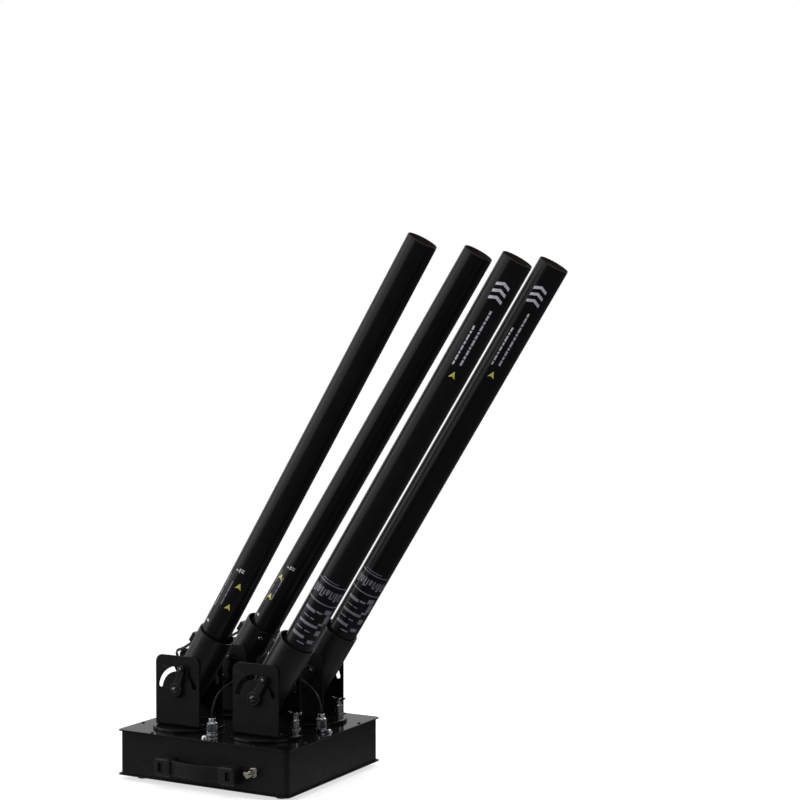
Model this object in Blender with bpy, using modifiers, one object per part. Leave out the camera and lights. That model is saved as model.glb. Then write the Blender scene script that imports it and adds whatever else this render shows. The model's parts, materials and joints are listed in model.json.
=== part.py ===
"""Four-head electric confetti launcher: a flat steel base box, four swivel heads on its lid,
and a long launch tube leaning in each head. Metres, +Z up. The origin is the middle of the
base's underside, the tubes lean towards +X and the carrying handle is on the -Y face."""

import math

import bmesh
import bpy
from mathutils import Matrix, Vector

NAME = "confetti_launcher"

# General clearances
CLEARANCE = 0.0003          # between pieces that touch or slide
SWIVEL_GAP = 0.0005         # under a turntable, where its bearing film is
JOIN_DEPTH = 0.0010         # how far the shapes of one solid reach into each other

# Base box
BASE_WIDTH = 0.322          # along X, over the lid
BASE_DEPTH = 0.284          # along Y, over the lid
BASE_HEIGHT = 0.072         # underside to lid top
LID_THICKNESS = 0.002
FLOOR_THICKNESS = 0.002
LID_OVERHANG = 0.0035       # how far lid and floor stand out past the walls
WALL_THICKNESS = 0.0016
CORNER_RADIUS = 0.008
FOOT_RADIUS = 0.010
FOOT_TIP_RADIUS = 0.0085
FOOT_TIP_ROUND = 0.0012
FOOT_DROP = 0.008           # how far a foot stands below the underside
FOOT_FLANGE = 0.0035        # how far its flange inside the floor stands out past the foot
FOOT_FLANGE_THICKNESS = 0.0025
FOOT_INSET = 0.030          # foot centre in from the lid's edges

# Head places on the lid
HEAD_SPACING_X = 0.148
HEAD_SPACING_Y = 0.132

# Turntable
DISC_RADIUS = 0.0585
DISC_THICKNESS = 0.0045
DISC_CHAMFER = 0.0010
SPINDLE_RADIUS = 0.014
COLLAR_RADIUS = 0.018
COLLAR_THICKNESS = 0.003

# Brake plunger at the turntable's edge
PLUNGER_RADIUS = 0.0520      # plunger axis from the head's axis
BARREL_RADIUS = 0.0062
BARREL_HEIGHT = 0.0200      # above the disc
BARREL_COLLAR_RADIUS = 0.0092
BARREL_COLLAR_HEIGHT = 0.0050
BARREL_COLLAR_LIFT = 0.0080
PIN_RADIUS = 0.0030
PIN_TIP_RADIUS = 0.0018
KNOB_WAIST_RADIUS = 0.0055
KNOB_HEIGHT = 0.0180        # above the barrel
KNOB_SKIRT = 0.0040         # height of the knob's wide foot
KNOB_CHAMFER = 0.0010
KNOB_WING_SPAN = 0.0230
KNOB_WING_DIP = 0.0025      # how far the knob's middle lies below its wing tips
KNOB_WING_HEIGHT = 0.0085
KNOB_WING_THICKNESS = 0.0060

# Bracket
BRACKET_WIDTH = 0.084       # along X
SHEET_THICKNESS = 0.0025
SIDE_GAP = 0.0006           # holder to each bracket side
PIVOT_HEIGHT = 0.136        # tilt axis above the underside
BRACKET_TOP = 0.054         # above the tilt axis
BRACKET_CORNER = 0.012
BEND_RADIUS = 0.0045        # outside of the sheet's bends
SLOT_RADIUS = 0.033
SLOT_WIDTH = 0.0080
SLOT_HALF_ANGLE = 80.0
CLIP_SIZE = 0.0066
CLIP_LENGTH_OUTSIDE = 0.012 # a clip outside the plate reaches past the plate's edge
CLIP_X = -0.0385            # lead in the clip from the head's axis, clip inside the plate
CLIP_X_OUTSIDE = -0.0462
CLIP_Z = 0.024              # lead clip above the tilt axis

# Holder
HOLDER_RADIUS = 0.030
HOLDER_WALL = 0.002
HOLDER_RIM = 0.104          # rim above the tilt axis, along the tube
HOLDER_SKIRT = 0.033        # open skirt below the tilt axis
HOLDER_FLOOR = 0.010        # top of its floor above the tilt axis
HOLDER_FLOOR_THICKNESS = 0.002
GUIDE_RADIUS = 0.0036
GUIDE_SUNK = 0.6            # share of the holder's wall that a guide bolt goes into
GUIDE_HEAD_RADIUS = 0.0058
GUIDE_HEAD_THICKNESS = 0.0025
TERMINAL_PLACE = 0.074      # lead terminal along the holder
TERMINAL_LENGTH = 0.016
TERMINAL_WIDTH = 0.014
TERMINAL_HEIGHT = 0.0080
TERMINAL_SUNK = 0.0010      # how far the terminal reaches into the holder's wall

# Pivot bolt and clamp lever
BOLT_RADIUS = 0.0040
BOLT_HOLE_RADIUS = 0.0044
NUT_RADIUS = 0.0075
NUT_THICKNESS = 0.0065
DOME_RADIUS = 0.0060
DOME_HEIGHT = 0.0032
DOME_FLANK = 0.0005         # upright part of the dome's height
LEVER_HUB_RADIUS = 0.0120
LEVER_HUB_TIP_RADIUS = 0.0108
LEVER_HUB_RISE = 0.0005     # how far the hub stands out past the arm
LEVER_REACH = 0.038
LEVER_ARM_WIDTH = 0.0110
LEVER_ARM_THICKNESS = 0.0030
LEVER_ARM_GAP = 0.0008      # from the arm to the guide bolt's head under it
LEVER_END_RADIUS = 0.0055
LEVER_END_TIP_RADIUS = 0.0046
LEVER_END_RISE = 0.0058     # how far the knob at the end stands out past the arm

# Tube
TUBE_RADIUS = 0.024
TUBE_WALL = 0.002
TUBE_PLUG = 0.018           # closed end piece inside the tube's foot
TUBE_PLAY_LEFT = 0.0006     # between the tube and the side of its looser holder it lies against

# Leads and their sockets on the lid
LEAD_RADIUS = 0.0025
LEAD_STRAIGHT = 0.005       # a lead's straight stretch at each of its ends
SOCKET_INSET_Y = 0.033      # from the front or back edge of the lid
SOCKET_INSET_X = 0.028      # from the left or right edge of the lid
SOCKET_HEIGHT = 0.028
SOCKET_BODY_RADIUS = 0.0085
SOCKET_THREAD_RADIUS = 0.0060
SOCKET_RING_RADIUS = 0.0055
SOCKET_RING_HEIGHT = 0.0060
SOCKET_CHAMFER = 0.0020
SOCKET_NUT_RADIUS = 0.0095
SOCKET_NUT_THICKNESS = 0.0030
SOCKET_FLANGE_THICKNESS = 0.0035
SOCKET_MOUTH_RADIUS = 0.0038

# Handle on the front wall
HANDLE_HALF_LENGTH = 0.075
HANDLE_CENTRE_Z = 0.0260
STRAP_HEIGHT = 0.0240
STRAP_THICKNESS = 0.0040
STRAP_BOW = 0.008
STRAP_SET_OUT = 0.0155      # the strap's middle line off the wall, in its caps
STRAP_EDGE = 0.0008
CAP_WIDTH = 0.030
CAP_HEIGHT = 0.0285
CAP_DEPTH = 0.0210
CAP_CORNER = 0.006
CAP_WINDOW_WIDTH = 0.009
CAP_WINDOW_HEIGHT = 0.014
CAP_WINDOW_FROM_END = 0.012
STRAP_IN_CAP = 0.023        # how far a strap end reaches into its cap

# Earth terminal on the front wall
TERMINAL_X = 0.097
TERMINAL_Z = 0.032
STUD_RADIUS = 0.0030
STUD_LENGTH = 0.018
STUD_FLANGE_RADIUS = 0.0075
STUD_FLANGE_THICKNESS = 0.0030
WING_SPAN = 0.028
WING_HEIGHT = 0.012
WING_THICKNESS = 0.0026
WING_HUB_RADIUS = 0.0060
WING_HUB_TIP_RADIUS = 0.0045
WING_HUB_LENGTH = 0.0080
WING_TURN = -24.0           # degrees

# Back panel pieces
INLET_FROM_SIDE = 0.049     # from the base's +X side
INLET_WIDTH = 0.027
INLET_HEIGHT = 0.020
INLET_DEPTH = 0.026
INLET_WALL = 0.0022
INLET_END = 0.0080          # thickness behind its recess
INLET_FLANGE_X = 0.048
INLET_FLANGE_Z = 0.028
SIGNAL_IN_FROM_SIDE = 0.101
SIGNAL_OUT_FROM_SIDE = 0.137
SIGNAL_RADIUS = 0.0118
SIGNAL_BORE_RADIUS = 0.0088
SIGNAL_DEPTH = 0.024
SIGNAL_END = 0.0030         # thickness behind its bore
SIGNAL_FLANGE_X = 0.026
SIGNAL_FLANGE_Z = 0.031
FLANGE_THICKNESS = 0.0020
BACK_CENTRE_Z = 0.036
PANEL_FROM_SIDE = 0.095     # from the base's -X side
PANEL_WIDTH = 0.088
PANEL_HEIGHT = 0.042
PANEL_BODY_WIDTH = 0.078
PANEL_BODY_HEIGHT = 0.034
PANEL_BODY_DEPTH = 0.0120
PANEL_THICKNESS = 0.0030
FLANGE_CORNER = 0.0030
DISPLAY_WIDTH = 0.034
DISPLAY_HEIGHT = 0.016
DISPLAY_RECESS = 0.0012
DISPLAY_LIFT = 0.007        # display centre above the panel's centre
BUTTON_RADIUS = 0.0036
BUTTON_FLANGE_RADIUS = 0.0046
BUTTON_FLANGE_THICKNESS = 0.0010
BUTTON_STAND = 0.0016       # how far a button stands proud of the panel
BUTTON_CHAMFER = 0.0005
BUTTON_COUNT = 4
BUTTON_PITCH = 0.0165
BUTTON_DROP = 0.0100        # buttons below the panel's centre
BUTTON_TRAVEL = 0.0012

# Power supply inside the base
SUPPLY_LENGTH = 0.159
SUPPLY_WIDTH = 0.097
SUPPLY_HEIGHT = 0.030
SUPPLY_EDGE = 0.0010

# Each head: side along X and Y, lean of its tube and of its clamp lever as set, tube length, the
# side that its tube lies against, and whether its lead clip is outside the bracket's back plate
HEADS = {
    "fl": dict(x=-1, y=-1, lean=31.4, lever=21.0, tube=0.807, shift=1, clip_outside=True),
    "bl": dict(x=-1, y=1, lean=33.0, lever=21.0, tube=0.812, shift=-1, clip_outside=True),
    "fr": dict(x=1, y=-1, lean=32.5, lever=33.0, tube=0.782, shift=-1, clip_outside=False),
    "br": dict(x=1, y=1, lean=32.5, lever=44.0, tube=0.782, shift=-1, clip_outside=False),
}

# Each head's lead socket on the lid, and the lead's way from there to the bracket clip:
# points by hand, from the tilt axis of the head
SOCKETS = {
    "fr": (0.0, -(BASE_DEPTH / 2 - SOCKET_INSET_Y)),
    "bl": (0.0, BASE_DEPTH / 2 - SOCKET_INSET_Y),
    "fl": (-(BASE_WIDTH / 2 - SOCKET_INSET_X), 0.0),
    "br": (BASE_WIDTH / 2 - SOCKET_INSET_X, 0.0),
}
LOWER_ROUTES = {
    "fl": [(-0.0600, 0.0620, -0.016), (-0.0590, 0.0500, 0.008), (-0.0570, 0.0400, 0.021)],
    "bl": [(0.0680, 0.0460, -0.014), (0.0500, 0.0480, 0.004), (0.0200, 0.0480, 0.019),
           (-0.0120, 0.0450, 0.0245), (-0.0290, 0.0385, 0.0240)],
    "fr": [(-0.0720, -0.0410, -0.016), (-0.0660, -0.0360, 0.002), (-0.0560, -0.0220, 0.015),
           (-0.0500, 0.0000, 0.022), (-0.0490, 0.0190, 0.0240)],
    "br": [(0.0540, -0.0640, -0.016), (0.0400, -0.0600, 0.000), (0.0140, -0.0570, 0.014),
           (-0.0180, -0.0560, 0.023), (-0.0420, -0.0470, 0.027), (-0.0520, -0.0240, 0.028),
           (-0.0510, 0.0060, 0.026), (-0.0490, 0.0200, 0.0240)],
}
# From the clip to the holder's terminal, from the same axis
UPPER_ROUTE_OUTSIDE = [(-0.0475, 0.0345, 0.038), (-0.0430, 0.0240, 0.047),
                       (-0.0310, 0.0110, 0.0540), (-0.0140, 0.0020, 0.0600)]
UPPER_ROUTE_INSIDE = [(-0.0370, 0.0270, 0.037), (-0.0270, 0.0180, 0.047), (-0.0120, 0.0060, 0.0575)]

# Values that follow from those above
BODY_WIDTH = BASE_WIDTH - 2 * LID_OVERHANG
BODY_DEPTH = BASE_DEPTH - 2 * LID_OVERHANG
LID_BOTTOM = BASE_HEIGHT - LID_THICKNESS
FRONT = -BODY_DEPTH / 2
BACK = BODY_DEPTH / 2
DISC_BOTTOM = BASE_HEIGHT + SWIVEL_GAP
DISC_TOP = DISC_BOTTOM + DISC_THICKNESS
BRACKET_BOTTOM = DISC_TOP + CLEARANCE
BRACKET_INSIDE = HOLDER_RADIUS + SIDE_GAP
BRACKET_OUTSIDE = BRACKET_INSIDE + SHEET_THICKNESS
STRAP_FACE = FRONT - CLEARANCE - STRAP_SET_OUT
CAP_CENTRE_X = HANDLE_HALF_LENGTH - CAP_WIDTH / 2
INLET_X = BASE_WIDTH / 2 - INLET_FROM_SIDE
SIGNAL_IN_X = BASE_WIDTH / 2 - SIGNAL_IN_FROM_SIDE
SIGNAL_OUT_X = BASE_WIDTH / 2 - SIGNAL_OUT_FROM_SIDE
PANEL_X = PANEL_FROM_SIDE - BASE_WIDTH / 2
STRAP_REACH = CAP_CENTRE_X - CAP_WIDTH / 2
TUBE_SIDE_SHIFT = HOLDER_RADIUS - HOLDER_WALL - TUBE_RADIUS - TUBE_PLAY_LEFT
BUTTON_SEAT = BACK + CLEARANCE + PANEL_THICKNESS * 0.4 - BUTTON_FLANGE_THICKNESS
LEVER_ARM_LIFT = GUIDE_HEAD_THICKNESS + LEVER_ARM_GAP
LEVER_ARM_TOP = LEVER_ARM_LIFT + LEVER_ARM_THICKNESS
LEVER_HUB_HEIGHT = LEVER_ARM_TOP + LEVER_HUB_RISE
LEVER_TOP = BRACKET_OUTSIDE + CLEARANCE + LEVER_HUB_HEIGHT

COLOURS = {
    "black_steel": ((0.012, 0.012, 0.013, 1), 0.32, 0.0),
    "black_gloss": ((0.006, 0.006, 0.007, 1), 0.12, 0.0),
    "black_rubber": ((0.015, 0.015, 0.015, 1), 0.8, 0.0),
    "black_plastic": ((0.014, 0.014, 0.014, 1), 0.45, 0.0),
    "chrome": ((0.75, 0.75, 0.76, 1), 0.15, 1.0),
    "brass": ((0.60, 0.52, 0.30, 1), 0.3, 1.0),
    "zinc": ((0.55, 0.56, 0.58, 1), 0.4, 1.0),
}

part_collection = None
cutter_collection = None


def clear_scene():
    """Remove what a new Blender file starts with."""
    for item in list(bpy.data.objects):
        bpy.data.objects.remove(item, do_unlink=True)


def make_collections():
    """One collection for the launcher's pieces, one for the cutters."""
    global part_collection, cutter_collection
    part_collection = bpy.data.collections.new(NAME)
    cutter_collection = bpy.data.collections.new(NAME + "_cutters")
    bpy.context.scene.collection.children.link(part_collection)
    bpy.context.scene.collection.children.link(cutter_collection)


def make_material(name, finish):
    """A Principled material for one piece, in one of the named finishes."""
    colour, roughness, metallic = COLOURS[finish]
    material = bpy.data.materials.new(name)
    material.use_nodes = True
    shader = material.node_tree.nodes["Principled BSDF"]
    shader.inputs["Base Color"].default_value = colour
    shader.inputs["Roughness"].default_value = roughness
    shader.inputs["Metallic"].default_value = metallic
    material.diffuse_color = colour
    return material


def link(item, name, finish, parent=None):
    """Put an object in the launcher's collection with its own material."""
    item.name = name
    part_collection.objects.link(item)
    item.data.materials.append(make_material(name, finish))
    item.parent = parent
    return item


def as_cutter(item, parent=None):
    """Put an object among the cutters, drawn as wire and never rendered."""
    cutter_collection.objects.link(item)
    item.hide_render = True
    item.display_type = "WIRE"
    item.parent = parent
    return item


def mesh_object(name, shape, angle=None):
    """An object from a bmesh, shaded smooth below the given angle if one is given."""
    mesh = bpy.data.meshes.new(name)
    shape.to_mesh(mesh)
    shape.free()
    if angle is not None:
        mesh.shade_smooth()
        mesh.set_sharp_from_angle(angle=math.radians(angle))
    return bpy.data.objects.new(name, mesh)


def box_object(name, size, centre):
    """A box of a size about a centre."""
    shape = bmesh.new()
    place = Matrix.Translation(Vector(centre)) @ Matrix.Diagonal((*size, 1.0))
    bmesh.ops.create_cube(shape, size=1.0, matrix=place)
    return mesh_object(name, shape)


def rod_object(name, radius, start, end, segments=24, end_radius=None):
    """A cylinder or cone between two points."""
    start, end = Vector(start), Vector(end)
    way = end - start
    turn = way.to_track_quat("Z", "Y").to_matrix().to_4x4()
    shape = bmesh.new()
    bmesh.ops.create_cone(
        shape,
        cap_ends=True,
        segments=segments,
        radius1=radius,
        radius2=radius if end_radius is None else end_radius,
        depth=way.length,
        matrix=Matrix.Translation((start + end) / 2) @ turn,
    )
    return mesh_object(name, shape, 40)


def prism_object(name, outline, thickness, along="Z", at=0.0):
    """A flat outline pushed through a thickness, from `at` along one axis.

    The outline's two numbers are the other two axes: X and Y for Z, X and Z for Y."""
    shape = bmesh.new()
    corners = []
    for first, second in outline:
        point = (first, second, at) if along == "Z" else (first, at, second)
        corners.append(shape.verts.new(point))
    face = shape.faces.new(corners)
    pushed = bmesh.ops.extrude_face_region(shape, geom=[face])["geom"]
    moved = [v for v in pushed if isinstance(v, bmesh.types.BMVert)]
    way = Vector((0, 0, thickness)) if along == "Z" else Vector((0, thickness, 0))
    bmesh.ops.translate(shape, verts=moved, vec=way)
    bmesh.ops.recalc_face_normals(shape, faces=shape.faces)
    return mesh_object(name, shape, 30)


def turned_object(name, profile, steps):
    """A turned shape about Z from a profile of (radius, height) points.

    The profile runs down the outer side from top to bottom."""
    mesh = bpy.data.meshes.new(name)
    edges = [(i, i + 1) for i in range(len(profile) - 1)]
    mesh.from_pydata([(r, 0.0, z) for r, z in profile], edges, [])
    item = bpy.data.objects.new(name, mesh)
    screw = item.modifiers.new("Turn", "SCREW")
    screw.steps = steps
    screw.render_steps = steps
    screw.use_merge_vertices = True
    screw.merge_threshold = 0.00001
    screw.use_smooth_shade = True
    return item


def add_boolean(item, cutter, operation):
    """Cut, join or keep the overlap with another object, exactly."""
    step = item.modifiers.new(operation.title() + "_" + cutter.name, "BOOLEAN")
    step.operation = operation
    step.object = cutter
    step.solver = "EXACT"
    return step


def cut(item, cutter, parent=None):
    add_boolean(item, as_cutter(cutter, parent), "DIFFERENCE")


def join(item, other, parent=None):
    add_boolean(item, as_cutter(other, parent), "UNION")


def keep_inside(item, other, parent=None):
    add_boolean(item, as_cutter(other, parent), "INTERSECT")


def add_bevel(item, width, segments=2, angle=50):
    """Round the sharp edges."""
    step = item.modifiers.new("Round", "BEVEL")
    step.width = width
    step.segments = segments
    step.limit_method = "ANGLE"
    step.angle_limit = math.radians(angle)
    return step


def arc(centre, radius, first, last, count):
    """Points on an arc, angles in degrees from +X towards the second axis."""
    points = []
    for i in range(count + 1):
        angle = math.radians(first + (last - first) * i / count)
        points.append((centre[0] + radius * math.cos(angle), centre[1] + radius * math.sin(angle)))
    return points


def rounded_rectangle(width, height, radius, count=4, centre=(0.0, 0.0)):
    """An outline with four rounded corners."""
    x, y = width / 2 - radius, height / 2 - radius
    outline = []
    for sign_x, sign_y, first in ((1, 1, 0), (-1, 1, 90), (-1, -1, 180), (1, -1, 270)):
        corner = (centre[0] + sign_x * x, centre[1] + sign_y * y)
        outline += arc(corner, radius, first, first + 90, count)
    return outline


def smooth_route(points, spacing):
    """Evenly spaced points on a Catmull-Rom curve through all points but the two end ones,
    with those two kept as the ends of straight stretches."""
    points = [Vector(p) for p in points]
    fine = []
    for i in range(1, len(points) - 2):
        a, b, c, d = points[i - 1 : i + 3]
        for step in range(16):
            t = step / 16
            fine.append(
                0.5 * (2 * b + (c - a) * t + (2 * a - 5 * b + 4 * c - d) * t**2
                       + (3 * b - 3 * c + d - a) * t**3)
            )
    fine.append(points[-2])
    lengths = [0.0]
    for a, b in zip(fine, fine[1:]):
        lengths.append(lengths[-1] + (b - a).length)
    count = max(2, round(lengths[-1] / spacing))
    found = []
    piece = 0
    for i in range(count + 1):
        want = lengths[-1] * i / count
        while piece < len(fine) - 2 and lengths[piece + 1] < want:
            piece += 1
        share = (want - lengths[piece]) / (lengths[piece + 1] - lengths[piece])
        found.append(fine[piece].lerp(fine[piece + 1], share))
    return [points[0], *found, points[-1]]


def lead_object(name, points, parent=None):
    """A round lead along a smooth route."""
    route = smooth_route(points, LEAD_RADIUS * 5)
    curve = bpy.data.curves.new(name, "CURVE")
    curve.dimensions = "3D"
    curve.bevel_depth = LEAD_RADIUS
    curve.bevel_resolution = 2
    curve.use_fill_caps = True
    spline = curve.splines.new("POLY")
    spline.points.add(len(route) - 1)
    for point, place in zip(spline.points, route):
        point.co = (*place, 1.0)
    return link(bpy.data.objects.new(name, curve), name, "black_rubber", parent)


def make_empty(name, place, parent=None, turn=(0.0, 0.0, 0.0)):
    """An empty that carries the pieces of one moving body."""
    item = bpy.data.objects.new(name, None)
    item.empty_display_size = 0.02
    item.location = place
    item.rotation_euler = turn
    item.parent = parent
    part_collection.objects.link(item)
    return item


def head_place(head):
    """Where a head's swivel axis meets the lid's plane."""
    return (head["x"] * HEAD_SPACING_X / 2, head["y"] * HEAD_SPACING_Y / 2)


def make_shell():
    """The four folded walls of the base, with the openings for what the back wall carries."""
    outer = rounded_rectangle(BODY_WIDTH, BODY_DEPTH, CORNER_RADIUS)
    bottom = FLOOR_THICKNESS + CLEARANCE
    height = LID_BOTTOM - CLEARANCE - bottom
    shell = link(prism_object("base_shell", outer, height, "Z", bottom), "base_shell", "black_steel")
    inner = rounded_rectangle(
        BODY_WIDTH - 2 * WALL_THICKNESS, BODY_DEPTH - 2 * WALL_THICKNESS, CORNER_RADIUS - WALL_THICKNESS
    )
    cut(shell, prism_object("cut_shell_inside", inner, height * 2, "Z", bottom - height / 2))
    depth = WALL_THICKNESS * 4
    for name, x, width, tall in (
        ("inlet", INLET_X, INLET_WIDTH, INLET_HEIGHT),
        ("panel", PANEL_X, PANEL_BODY_WIDTH, PANEL_BODY_HEIGHT),
    ):
        size = (width + 2 * CLEARANCE, depth, tall + 2 * CLEARANCE)
        cut(shell, box_object("cut_wall_" + name, size, (x, BACK, BACK_CENTRE_Z)))
    for name, x in (("in", SIGNAL_IN_X), ("out", SIGNAL_OUT_X)):
        start, end = (x, BACK - depth / 2, BACK_CENTRE_Z), (x, BACK + depth / 2, BACK_CENTRE_Z)
        cut(shell, rod_object("cut_wall_signal_" + name, SIGNAL_RADIUS + 2 * CLEARANCE, start, end))


def make_lid():
    """The top plate, with holes for the four spindles and the four lead sockets."""
    outline = rounded_rectangle(BASE_WIDTH, BASE_DEPTH, CORNER_RADIUS)
    lid = link(prism_object("top_plate", outline, LID_THICKNESS, "Z", LID_BOTTOM), "top_plate", "black_gloss")
    low, high = LID_BOTTOM - LID_THICKNESS, BASE_HEIGHT + LID_THICKNESS
    for name, head in HEADS.items():
        x, y = head_place(head)
        cut(lid, rod_object("cut_lid_spindle_" + name, SPINDLE_RADIUS + 2 * CLEARANCE,
                            (x, y, low), (x, y, high), 32))
    for name, (x, y) in SOCKETS.items():
        cut(lid, rod_object("cut_lid_socket_" + name, SOCKET_THREAD_RADIUS + 2 * CLEARANCE,
                            (x, y, low), (x, y, high), 16))


def make_floor():
    """The bottom plate, with a hole for each foot."""
    outline = rounded_rectangle(BASE_WIDTH, BASE_DEPTH, CORNER_RADIUS)
    plate = prism_object("bottom_plate", outline, FLOOR_THICKNESS, "Z", 0.0)
    floor = link(plate, "bottom_plate", "black_steel")
    for name, head in HEADS.items():
        x, y = foot_place(head)
        cut(floor, rod_object("cut_floor_" + name, FOOT_RADIUS + 2 * CLEARANCE,
                              (x, y, -FLOOR_THICKNESS), (x, y, 2 * FLOOR_THICKNESS), 20))


def foot_place(head):
    return (head["x"] * (BASE_WIDTH / 2 - FOOT_INSET), head["y"] * (BASE_DEPTH / 2 - FOOT_INSET))


def make_foot(name, head):
    """A rubber foot pushed through the floor and held by its flange."""
    flange_bottom = FLOOR_THICKNESS + CLEARANCE
    profile = [
        (0.0, flange_bottom + FOOT_FLANGE_THICKNESS),
        (FOOT_RADIUS + FOOT_FLANGE, flange_bottom + FOOT_FLANGE_THICKNESS),
        (FOOT_RADIUS + FOOT_FLANGE, flange_bottom),
        (FOOT_RADIUS, flange_bottom),
        (FOOT_TIP_RADIUS + FOOT_TIP_ROUND, FOOT_TIP_ROUND - FOOT_DROP),
        (FOOT_TIP_RADIUS, -FOOT_DROP),
        (0.0, -FOOT_DROP),
    ]
    foot = link(turned_object("foot_" + name, profile, 20), "foot_" + name, "black_rubber")
    foot.location = (*foot_place(head), 0.0)


def make_supply():
    """The power supply on the floor of the base."""
    z = FLOOR_THICKNESS + CLEARANCE + SUPPLY_HEIGHT / 2
    size = (SUPPLY_LENGTH, SUPPLY_WIDTH, SUPPLY_HEIGHT)
    supply = link(box_object("power_supply", size, (0.0, 0.0, z)), "power_supply", "zinc")
    add_bevel(supply, SUPPLY_EDGE, 1)


def make_socket(name):
    """A screwed lead socket through the lid, with its plug in it."""
    top = BASE_HEIGHT + SOCKET_HEIGHT
    seat = BASE_HEIGHT + CLEARANCE
    nut_top = LID_BOTTOM - CLEARANCE
    ring_bottom = top - SOCKET_RING_HEIGHT
    profile = [
        (0.0, top),
        (SOCKET_MOUTH_RADIUS, top),
        (SOCKET_RING_RADIUS, top - SOCKET_CHAMFER),
        (SOCKET_RING_RADIUS, ring_bottom),
        (SOCKET_BODY_RADIUS - SOCKET_CHAMFER, ring_bottom),
        (SOCKET_BODY_RADIUS, ring_bottom - SOCKET_CHAMFER),
        (SOCKET_BODY_RADIUS, seat + SOCKET_FLANGE_THICKNESS),
        (SOCKET_NUT_RADIUS, seat + SOCKET_FLANGE_THICKNESS),
        (SOCKET_NUT_RADIUS, seat),
        (SOCKET_THREAD_RADIUS, seat),
        (SOCKET_THREAD_RADIUS, nut_top),
        (SOCKET_NUT_RADIUS, nut_top),
        (SOCKET_NUT_RADIUS, nut_top - SOCKET_NUT_THICKNESS),
        (0.0, nut_top - SOCKET_NUT_THICKNESS),
    ]
    item = link(turned_object("lead_socket_" + name, profile, 16), "lead_socket_" + name, "zinc")
    item.location = (*SOCKETS[name], 0.0)


def strap_depth(x):
    """How far in front of the cap centres the strap's middle line stands at x."""
    if abs(x) >= STRAP_REACH:
        return 0.0
    return STRAP_BOW * (1 - (x / STRAP_REACH) ** 2) ** 1.5


def make_handle():
    """The bowed strap and the two end caps that hold it."""
    end = STRAP_REACH + STRAP_IN_CAP
    steps = 18
    bowed = [STRAP_REACH * (2 * i / steps - 1) for i in range(steps + 1)]
    places = [-end, *bowed, end]
    front = [(x, STRAP_FACE - strap_depth(x) - STRAP_THICKNESS / 2) for x in places]
    back = [(x, STRAP_FACE - strap_depth(x) + STRAP_THICKNESS / 2) for x in reversed(places)]
    low = HANDLE_CENTRE_Z - STRAP_HEIGHT / 2
    strap = link(prism_object("handle_strap", front + back, STRAP_HEIGHT, "Z", low),
                 "handle_strap", "black_rubber")
    add_bevel(strap, STRAP_EDGE, 1, 60)
    for name, side in (("left", -1), ("right", 1)):
        make_handle_cap(name, side)


def make_handle_cap(name, side):
    """One end cap: a rounded block with a pocket for the strap and a window in front."""
    x = side * CAP_CENTRE_X
    outline = rounded_rectangle(CAP_WIDTH, CAP_HEIGHT, CAP_CORNER, 3, (x, HANDLE_CENTRE_Z))
    cap = link(prism_object("handle_cap_" + name, outline, -CAP_DEPTH, "Y", FRONT - CLEARANCE),
               "handle_cap_" + name, "black_plastic")
    pocket_length = STRAP_IN_CAP + CLEARANCE + CAP_WIDTH / 2
    middle = side * (STRAP_REACH + STRAP_IN_CAP + CLEARANCE - pocket_length / 2)
    pocket = (pocket_length, STRAP_THICKNESS + 2 * CLEARANCE, STRAP_HEIGHT + 2 * CLEARANCE)
    cut(cap, box_object("cut_cap_pocket_" + name, pocket, (middle, STRAP_FACE, HANDLE_CENTRE_Z)))
    window = (CAP_WINDOW_WIDTH, CAP_DEPTH / 2 + CLEARANCE, CAP_WINDOW_HEIGHT)
    window_x = side * (HANDLE_HALF_LENGTH - CAP_WINDOW_FROM_END)
    window_y = FRONT - CLEARANCE - CAP_DEPTH
    cut(cap, box_object("cut_cap_window_" + name, window, (window_x, window_y, HANDLE_CENTRE_Z)))


def make_earth_terminal():
    """The earth stud on the front wall, with its wing nut."""
    wall = FRONT - CLEARANCE
    flange_front = wall - STUD_FLANGE_THICKNESS
    base = rod_object("earth_terminal", STUD_FLANGE_RADIUS, (TERMINAL_X, wall, TERMINAL_Z),
                      (TERMINAL_X, flange_front, TERMINAL_Z), 16)
    link(base, "earth_terminal", "brass")
    inside = (TERMINAL_X, flange_front + JOIN_DEPTH, TERMINAL_Z)
    join(base, rod_object("add_stud", STUD_RADIUS, inside, (TERMINAL_X, wall - STUD_LENGTH, TERMINAL_Z), 12))
    hub_end = (TERMINAL_X, flange_front - WING_HUB_LENGTH, TERMINAL_Z)
    join(base, rod_object("add_wing_hub", WING_HUB_RADIUS, inside, hub_end, 12, WING_HUB_TIP_RADIUS))
    half, tip = WING_SPAN / 2, WING_HEIGHT / 2
    outline = [(-half, tip * 0.8), (-half * 0.8, tip), (-half * 0.35, tip * 0.6),
               (half * 0.35, tip * 0.6), (half * 0.8, tip), (half, tip * 0.8),
               (half * 0.75, -tip), (-half * 0.75, -tip)]
    wing_front = flange_front - WING_HUB_LENGTH / 2 + WING_THICKNESS / 2
    wing = prism_object("add_wings", outline, -WING_THICKNESS, "Y", wing_front)
    wing.location = (TERMINAL_X, 0.0, TERMINAL_Z)
    wing.rotation_euler = (0.0, math.radians(WING_TURN), 0.0)
    join(base, wing)


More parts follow.
